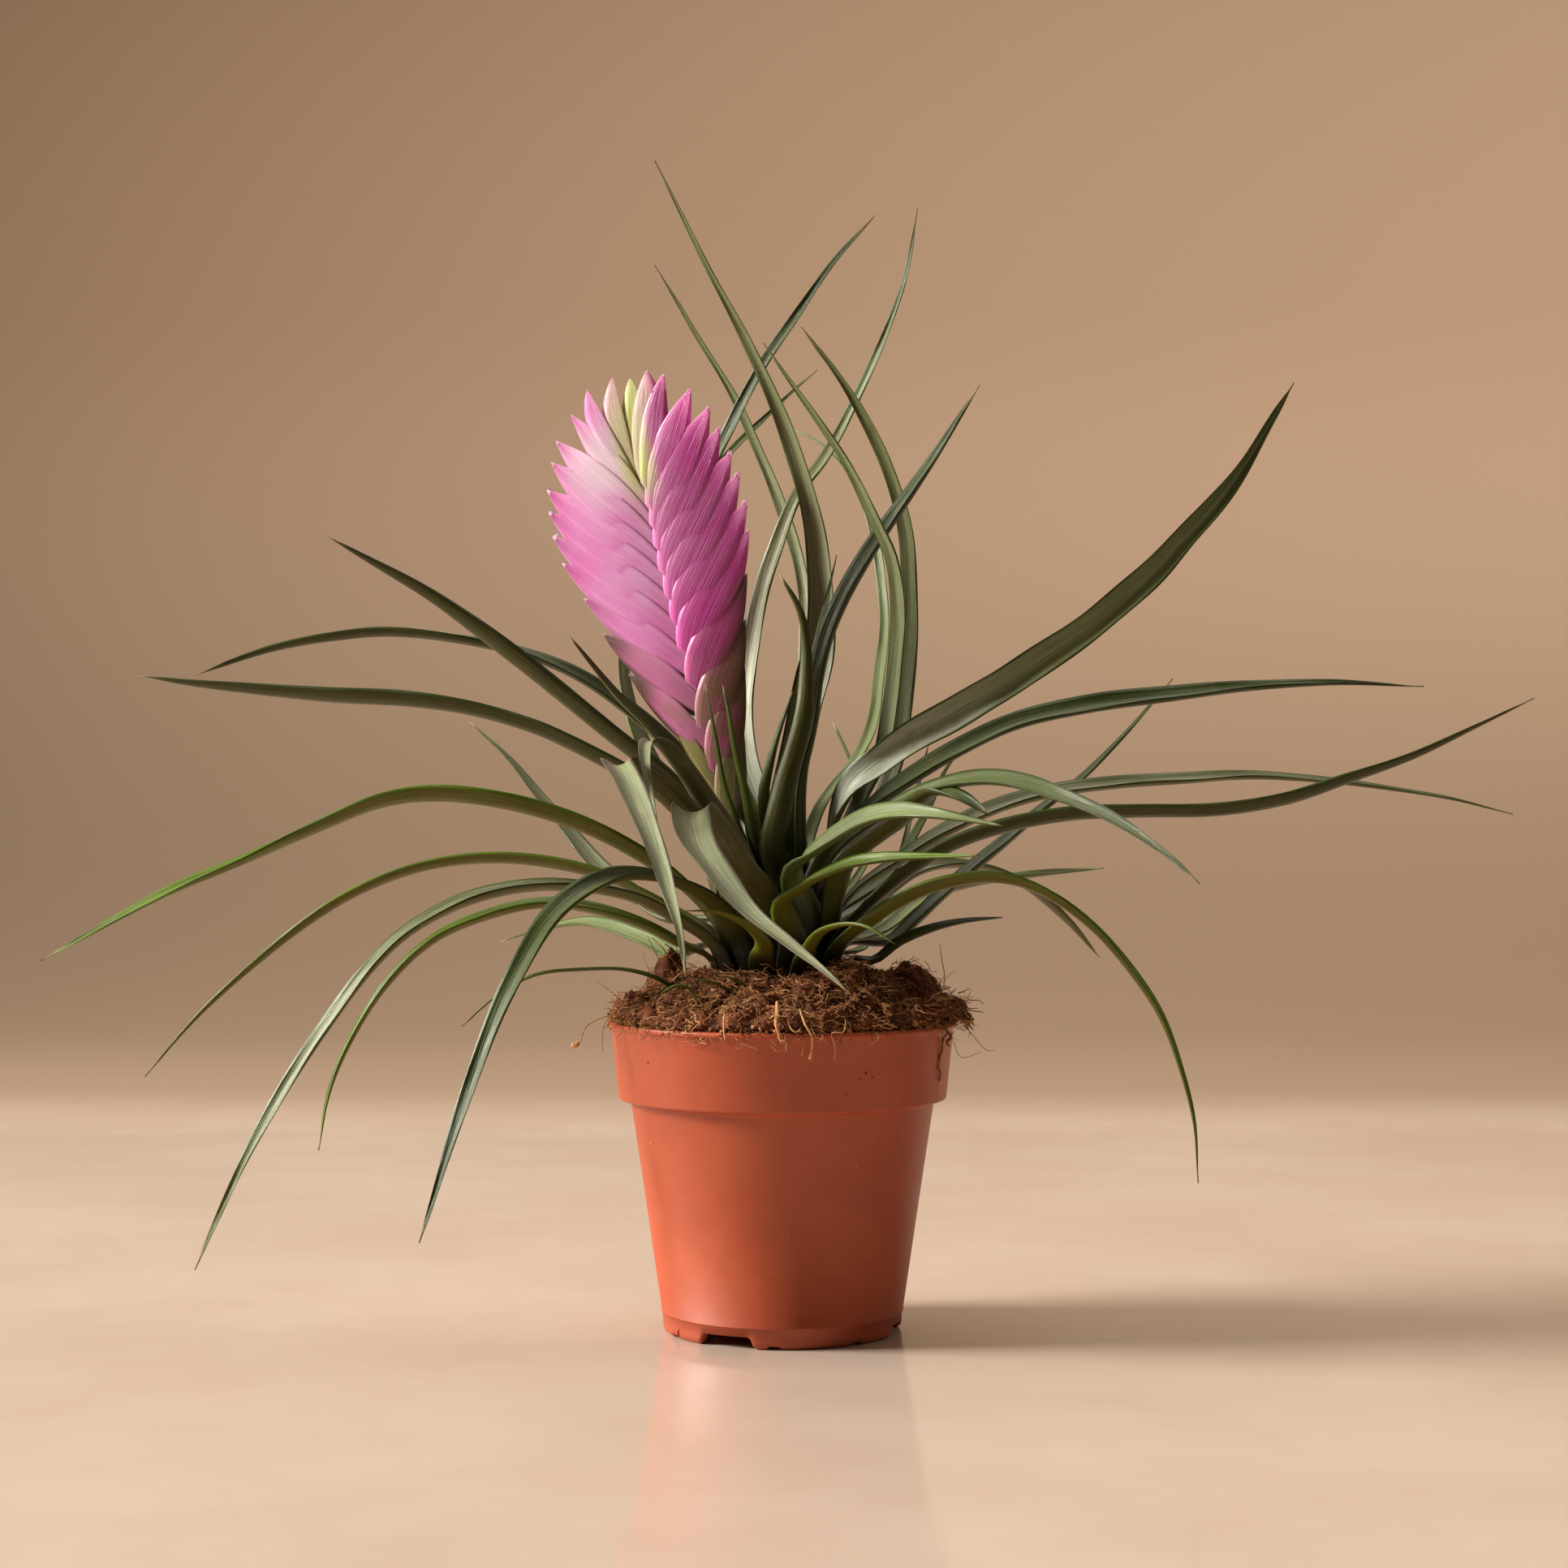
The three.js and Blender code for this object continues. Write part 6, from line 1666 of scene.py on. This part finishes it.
@dataclass
class CoirBed:
    """The mound of coir that fills the pot: its body, its crumbs and its loose fibres.

    wall lists the radius and height of the body inside the pot, up to the rim. edge_waves are the height,
    the count round the pot and the shift of the waves in its edge. rim_share of the bits lie within
    rim_band at the edge. A pair gives the least and the greatest value.
    """

    effects: Effects
    wall: tuple[Pair, ...] = (
        (29.7, 5.1), (37.65, 60.2), (40.9, 62.3), (42.6, 79.9), (43.9, 80.4),
    )
    edge_height: float = 80.6
    edge_radius: float = 44.6
    shoulder: float = 3.0
    crown_height: float = 91.0
    crown_radius: float = 22.0
    pit_floor: float = 83.6
    pit_radius: float = 16.0
    bulge_bearing: float = 78.0
    bulge_reach: float = 4.6
    bulge_spread: float = 20.0
    settling: float = 3.5
    least_relief: float = 0.35
    edge_waves: tuple[tuple[float, int, float], ...] = ((0.35, 7, 0.0), (0.25, 17, 1.0))
    columns: int = 400
    rows: int = 112
    lump_size: float = 4.0
    lump_height: float = 1.3
    pit_depth: float = 0.6
    swelling: float = 0.35
    thread_size: float = 1.6
    thread_depth: float = 0.9
    out_height: float = 70.0
    crumb_kinds: int = 12
    fibre_kinds: int = 36
    hair_kinds: int = 12
    crumbs: int = 3200
    crumb_sizes: Pair = (0.2, 0.5)
    crumb_spread: Pair = (0.6, 1.6)
    crumb_lift: Pair = (-0.6, 0.7)
    crumb_light: float = 0.7
    large_share: float = 0.1
    large_size: float = 1.6
    fibre_sizes: Pair = (0.3, 1.1)
    fibre_lift: Pair = (-0.2, 1.2)
    fibre_wander: float = 0.75
    hairs: int = 36
    hair_length: float = 8.0
    hair_radius: float = 0.06
    hair_wander: float = 0.35
    hair_sizes: Pair = (0.3, 0.8)
    rim_share: float = 0.14
    rim_band: Pair = (-0.03, 0.05)
    outward_pull: float = 1.4
    rim_pull: float = 0.985
    rim_drop: float = 1.8
    slope_step: float = 0.08
    chance: random.Random = field(default_factory=lambda: random.Random(11))

    def edge(self, angle: float) -> float:
        """Return the mound's radius at an angle."""
        away = (angle - math.radians(self.bulge_bearing - 90) + math.pi) % math.tau - math.pi
        bulge = self.bulge_reach * math.exp(-((away / math.radians(self.bulge_spread)) ** 2))
        radius = self.edge_radius + bulge
        for height, count, shift in self.edge_waves:
            radius += height * math.sin(count * angle + shift)
        return radius

    @staticmethod
    def relief(x: float, y: float) -> float:
        """Return the mound's broad unevenness over a place, from waves that cross each other."""
        broad = 0.8 * math.sin(0.55 * x + 1.3) * math.cos(0.47 * y)
        return broad + 0.6 * math.sin(0.9 * x - 0.7 * y) + 0.45 * math.sin(1.7 * x + 2.1 * y + 0.4)

    def top(self, x: float, y: float) -> float:
        """Return the height of the mound's surface over a place."""
        edge = self.edge(math.atan2(y, x))
        radius = math.hypot(x, y)
        height = self.edge_height + self.shoulder * smooth(-0.6, 2.4, edge - radius)
        height += (self.crown_height - height) * smooth(1.0, edge - self.crown_radius, edge - radius)
        settled = smooth(0, self.settling, edge - radius)
        for lump in LUMPS + HOLLOWS:
            away = math.hypot(x - lump.x, y - lump.y) / lump.spread
            height += lump.rise * math.exp(-(away**4)) * settled
        return height + self.relief(x, y) * mix(self.least_relief, 1.0, settled)

    def on_top(self, angle: float, inwards: float) -> Vector:
        """Return a place on the mound, from its edge at 0 to the leaf bases at 1."""
        radius = mix(self.edge(angle), self.pit_radius, inwards)
        x, y = radius * math.cos(angle), radius * math.sin(angle)
        return Vector((x, y, self.top(x, y)))

    def body(self) -> Mesh:
        """Make the mound's closed body, from the pot's floor up its wall and over to the leaf bases."""
        elsewhere = Vector((9.0, 0.0, 0.0))
        top_start = len(self.wall)
        top_end = self.rows - 2

        def place(across: float, along: float) -> Vertex:
            """Put a vertex on the body."""
            angle = math.tau * across
            step = round(along * self.rows)
            if step < top_start:
                radius, height = self.wall[step]
                spot = Vector((radius * math.cos(angle), radius * math.sin(angle), height))
            else:
                spot = self.on_top(angle, min(1.0, (step - top_start) / (top_end - top_start)))
                if step > top_end:
                    spot.xy *= 0.95 if step == top_end + 1 else 0.9
                    spot.z = mix(self.pit_floor, spot.z, 0.5 * (self.rows - step))
                rough = rough_noise(spot, self.lump_size, 5)
                threads = abs(rough_noise(spot + elsewhere, self.thread_size, 3))
                pits = self.pit_depth * max(0.0, -rough)
                out = Vector((spot.x, spot.y, self.out_height)).normalized()
                spot += out * (self.lump_height * rough - pits + self.swelling - self.thread_depth * threads)
            return spot, Vector()

        shapes = [mesh_of("body", warped_grid(self.columns, self.rows, place, closed=True))]
        return assembled("coir_body", shapes, each_once([Vector((0.2, 0.0, 0.0))]))

    def somewhere(self) -> Pair:
        """Pick an angle and a share inwards, more often on the mound's outer part and its edge."""
        angle = self.chance.uniform(0, math.tau)
        if self.chance.random() < self.rim_share:
            return angle, self.chance.uniform(*self.rim_band)
        return angle, self.chance.random() ** self.outward_pull

    def crumb_shape(self) -> Mesh:
        """Make one irregular crumb."""
        bm = bmesh.new()
        bmesh.ops.create_icosphere(bm, subdivisions=1, radius=1.0)
        for vertex in bm.verts:
            vertex.co *= self.chance.uniform(0.55, 1.25)
        return mesh_of("crumb", bm)

    def crumb_mesh(self) -> Mesh:
        """Scatter small irregular crumbs over the mound."""
        shapes = [self.crumb_shape() for _ in range(self.crumb_kinds)]
        copies = []
        for _ in range(self.crumbs):
            angle, inwards = self.somewhere()
            size = self.chance.uniform(*self.crumb_sizes)
            size *= self.large_size if self.chance.random() < self.large_share else 1.0
            spot = self.on_top(angle, inwards)
            spot.z += self.chance.uniform(*self.crumb_lift) + 1.2 * rough_noise(spot, self.lump_size, 3)
            spread = [size * self.chance.uniform(*self.crumb_spread) * MM for _ in range(3)]
            axis = Vector([self.chance.gauss(0, 1) for _ in range(3)])
            turn = Matrix.Rotation(self.chance.uniform(0, math.tau), 4, axis)
            nature = Vector((self.crumb_light * self.chance.random(), self.chance.random(), 0.0))
            copies.append((self.chance.randrange(len(shapes)), set_down(spot, turn, spread), nature))
        return assembled("coir_crumbs", shapes, copies)

    def curl(self, length: float, wander: float) -> Route:
        """Return a wandering line of about a length, lying level."""
        heading, spot, points = 0.0, Vector(), []
        steps = 6
        for _ in range(steps + 1):
            points.append(spot.copy())
            heading += self.chance.gauss(0, wander)
            rise = self.chance.gauss(0, 0.12)
            spot += Vector((math.cos(heading), math.sin(heading), rise)) * (length / steps)
        return Route(points)

    def laid(self, length: float) -> Matrix:
        """Pick a place on the mound for a fibre.

        Args:
            length: The fibre's length before it is scaled.

        Returns:
            Where the fibre goes, in metres, lying along the mound's slope.
        """
        angle, inwards = self.somewhere()
        spot = self.on_top(angle, inwards)
        inner = self.on_top(angle, min(1.0, inwards + self.slope_step))
        slope = (inner - spot).normalized()
        spot.z += self.chance.uniform(*self.fibre_lift) + 1.1 * rough_noise(spot, self.lump_size, 3)
        if inwards < self.rim_band[1]:
            spot.xy *= self.rim_pull
            spot.z -= self.chance.uniform(0.0, self.rim_drop)
        level = Vector((-math.sin(angle), math.cos(angle), 0.0))
        normal = slope.cross(level).normalized()
        normal *= 1 if normal.z > 0 else -1
        turn = normal.to_track_quat("Z", "Y").to_matrix().to_4x4()
        turn @= Matrix.Rotation(self.chance.uniform(0, math.tau), 4, "Z")
        tilt = Matrix.Rotation(self.chance.gauss(0, 0.2), 4, "Y")
        size = self.chance.uniform(*self.fibre_sizes)
        centred = Matrix.Translation(Vector((-length / 2, 0.0, 0.0)) * MM)
        return set_down(spot, turn @ tilt, [size] * 3) @ centred

    def tangle(self, tangle: Tangle) -> Mesh:
        """Lay curled fibres over the mound."""
        curls = [self.curl(tangle.length, self.fibre_wander) for _ in range(self.fibre_kinds)]
        shapes = [mesh_of("fibre", thread(curl, tangle.radius, 3, tangle.rows)) for curl in curls]
        dark = 1 - tangle.light
        copies = []
        for _ in range(tangle.count):
            matrix = self.laid(tangle.length)
            nature = Vector((self.chance.random() ** dark, self.chance.random() * dark, 0.0))
            copies.append((self.chance.randrange(len(shapes)), matrix, nature))
        return assembled(tangle.name, shapes, copies)

    def loose_mesh(self) -> Mesh:
        """Make the strands over the rim, the hairs that stand up and the crumbs stuck to the pot."""
        shapes = []
        for strand in STRANDS:
            route = Route([EYE.seen(*spot) for spot in strand.route])
            rows = max(10, round(route.length * 1.5))
            shapes.append(mesh_of("strand", thread(route, strand.radius, 6, rows)))
        copies = each_once([Vector((strand.lightness, 0.0, 0.0)) for strand in STRANDS])
        first_hair = len(shapes)
        hairs = [self.curl(self.hair_length, self.hair_wander) for _ in range(self.hair_kinds)]
        shapes += [mesh_of("hair", thread(hair, self.hair_radius, 3, 8)) for hair in hairs]
        for _ in range(self.hairs):
            angle, inwards = self.chance.uniform(0, math.tau), self.chance.random() ** 2 * 0.7
            spot = self.on_top(angle, inwards)
            outwards = self.chance.uniform(-0.2, 1.0)
            upwards = self.chance.uniform(0.3, 1.2)
            way = Vector((math.cos(angle) * outwards, math.sin(angle) * outwards, upwards))
            turn = way.to_track_quat("X", "Z").to_matrix().to_4x4()
            size = self.chance.uniform(*self.hair_sizes)
            kind = first_hair + self.chance.randrange(self.hair_kinds)
            copies.append((kind, set_down(spot, turn, [size] * 3), Vector((self.chance.random(), 0.0, 0.0))))
        shapes.append(self.crumb_shape())
        for across, up, behind, size in STUCK:
            spread = [size * self.chance.uniform(0.5, 1.0) * MM for _ in range(3)]
            matrix = set_down(EYE.seen(across, up, behind), Matrix.Identity(4), spread)
            copies.append((len(shapes) - 1, matrix, Vector((0.1, 0.0, 0.0))))
        return assembled("coir_loose", shapes, copies)

    def material(self, name: str, dark: str, middle: str, light: str) -> Material:
        """Make the coir's fibrous brown.

        Args:
            name: The material's name.
            dark: The colour of its darkest bits.
            middle: Its usual colour.
            light: The colour of its freshest fibres.

        Returns:
            A material whose colour changes from bit to bit.
        """
        nodes = Finish(name)
        place = nodes.place()
        bit, other = nodes.marks("nature")[:2]
        blotches = nodes.group(self.effects.blotches, place=place, per_metre=260.0)
        fine = nodes.noise(place, 2200.0, 3.0, 0.7)
        colour = nodes.layered(tint(dark), (
            (nodes.rise(blotches, 0.36, 0.6), middle),
            (bit**1.6, light),
            (nodes.rise(other, 0.84, 0.95, 0.0, 0.75), dark),
        ))
        inputs = {
            "Base Color": nodes.shaded(colour, fine * 0.7 + 0.62),
            "Roughness": nodes.rise(fine, 0.2, 0.8, 0.8, 0.95),
            "Specular IOR Level": 0.25,
        }
        return nodes.done(inputs, fine, 0.3)

    def build(self) -> None:
        """Make the coir in place of its plain solid."""
        bed = self.material("coir_bed", "2e160a", "744024", "9c5e34")
        bits = self.material("coir_bits", "4c2816", "a4663a", "dca66e")
        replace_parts(show("coir_body", self.body(), bed), "coir")
        show("coir_crumbs", self.crumb_mesh(), bits)
        for tangle in TANGLES:
            show(tangle.name, self.tangle(tangle), bits)
        show("coir_loose_strands", self.loose_mesh(), bits)


# Studio


@dataclass(frozen=True)
class Lamp:
    """A soft square light: its place, aim, side, power, colour and the angle that it shines into."""

    name: str
    spot: Spot
    aim: Spot
    size: float
    watts: float
    colour: str
    spread: float


LAMPS = (
    Lamp("key", (-2400, -120, 1350), (0, 0, 130), 900, 25.0, "fff8f0", 64),
    Lamp("top", (-100, 420, 1500), (0, 0, 130), 1200, 9.5, "fff4e8", 150),
    Lamp("wall", (1500, 300, 1300), (500, 1400, 300), 900, 6.0, "ffeedd", 120),
)


@dataclass
class Studio:
    """The plain floor with its sweep, the soft lights and the camera.

    The floor's paint turns darker behind the object, from wall_start to wall_full.
    """

    effects: Effects
    floor_width: float = 5200.0
    floor_front: float = -1500.0
    wall_start: float = 380.0
    wall_full: float = 620.0
    sweep_start: float = 900.0
    sweep_radius: float = 500.0
    sweep_height: float = 2600.0
    sweep_steps: int = 16
    lens: float = 66.2
    shift_x: float = 0.001
    shift_y: float = 0.0093
    sensor_width: float = 36.0
    nearest: float = 10.0
    furthest: float = 20000.0
    surroundings: float = 0.08

    def floor(self) -> None:
        """Make the pale floor, which curves up behind the object."""
        bm = bmesh.new()
        half = self.floor_width / 2
        line = [(self.floor_front, 0.0), (self.sweep_start, 0.0)]
        for step in range(1, self.sweep_steps + 1):
            angle = math.pi / 2 * step / self.sweep_steps
            back, up = math.sin(angle), 1 - math.cos(angle)
            line.append((self.sweep_start + self.sweep_radius * back, self.sweep_radius * up))
        line.append((self.sweep_start + self.sweep_radius, self.sweep_height))
        spots = [bm.verts.new(Vector((-half, y, z)) * MM) for y, z in line]
        edges = [bm.edges.new(pair) for pair in zip(spots, spots[1:])]
        made = bmesh.ops.extrude_edge_only(bm, edges=edges)["geom"]
        moved = [item for item in made if isinstance(item, bmesh.types.BMVert)]
        bmesh.ops.translate(bm, verts=moved, vec=Vector((self.floor_width, 0.0, 0.0)) * MM)
        bmesh.ops.recalc_face_normals(bm, faces=bm.faces)
        floor = new_object("floor", mesh_of("floor", bm))
        nodes = Finish("floor_paint")
        place = nodes.place()
        blotches = nodes.group(self.effects.blotches, place=place, per_metre=9.0)
        behind, up = nodes.parts(place)[1:]
        far = nodes.rise(behind, self.wall_start * MM, self.wall_full * MM)
        colour = nodes.layered(tint("bfad9d"), (
            (nodes.rise(blotches, 0.35, 0.65), "c6b6a7"),
            (far, "96806a"),
            (nodes.rise(up, 0.0, 0.45), "d2b89e"),
        ))
        roughness = nodes.rise(blotches, 0.3, 0.7, 0.08, 0.13) + far * 0.8
        floor.data.materials.append(nodes.done({"Base Color": colour, "Roughness": roughness}))

    def light(self, lamp: Lamp) -> None:
        """Add a light."""
        light = bpy.data.lights.new(lamp.name, "AREA")
        light.shape, light.size, light.energy = "SQUARE", lamp.size * MM, lamp.watts
        light.color, light.spread = tint(lamp.colour)[:3], math.radians(lamp.spread)
        holder = new_object(lamp.name, light)
        spot = Vector(lamp.spot)
        holder.location = spot * MM
        holder.rotation_euler = (Vector(lamp.aim) - spot).to_track_quat("-Z", "Y").to_euler()

    def build(self) -> None:
        """Make the floor, the lights, the surroundings and the camera."""
        self.floor()
        for lamp in LAMPS:
            self.light(lamp)
        world = bpy.data.worlds.new("surroundings")
        world.use_nodes = True
        background = world.node_tree.nodes["Background"]
        background.inputs["Color"].default_value = tint("ffdfc0")
        background.inputs["Strength"].default_value = self.surroundings
        bpy.context.scene.world = world
        lens = bpy.data.cameras.new("camera")
        lens.lens, lens.sensor_width = self.lens, self.sensor_width
        lens.shift_x, lens.shift_y = self.shift_x, self.shift_y
        lens.clip_start, lens.clip_end = self.nearest * MM, self.furthest * MM
        camera = new_object("camera", lens)
        camera.location = Vector((0.0, -EYE.distance, EYE.height)) * MM
        camera.rotation_euler = (math.pi / 2, 0.0, 0.0)
        bpy.context.scene.camera = camera
        bpy.context.scene.view_settings.view_transform = "Standard"


def main() -> None:
    """Build every piece."""
    logging.basicConfig(level=logging.INFO, format="%(name)s: %(message)s")
    effects = Effects(lengthwise_lines(), fine_specks(), mottling())
    Pot(effects).build()
    CoirBed(effects).build()
    Rosette(effects).build()
    FlowerSpike(effects).build()
    Studio(effects).build()


if __name__ == "__main__":
    main()
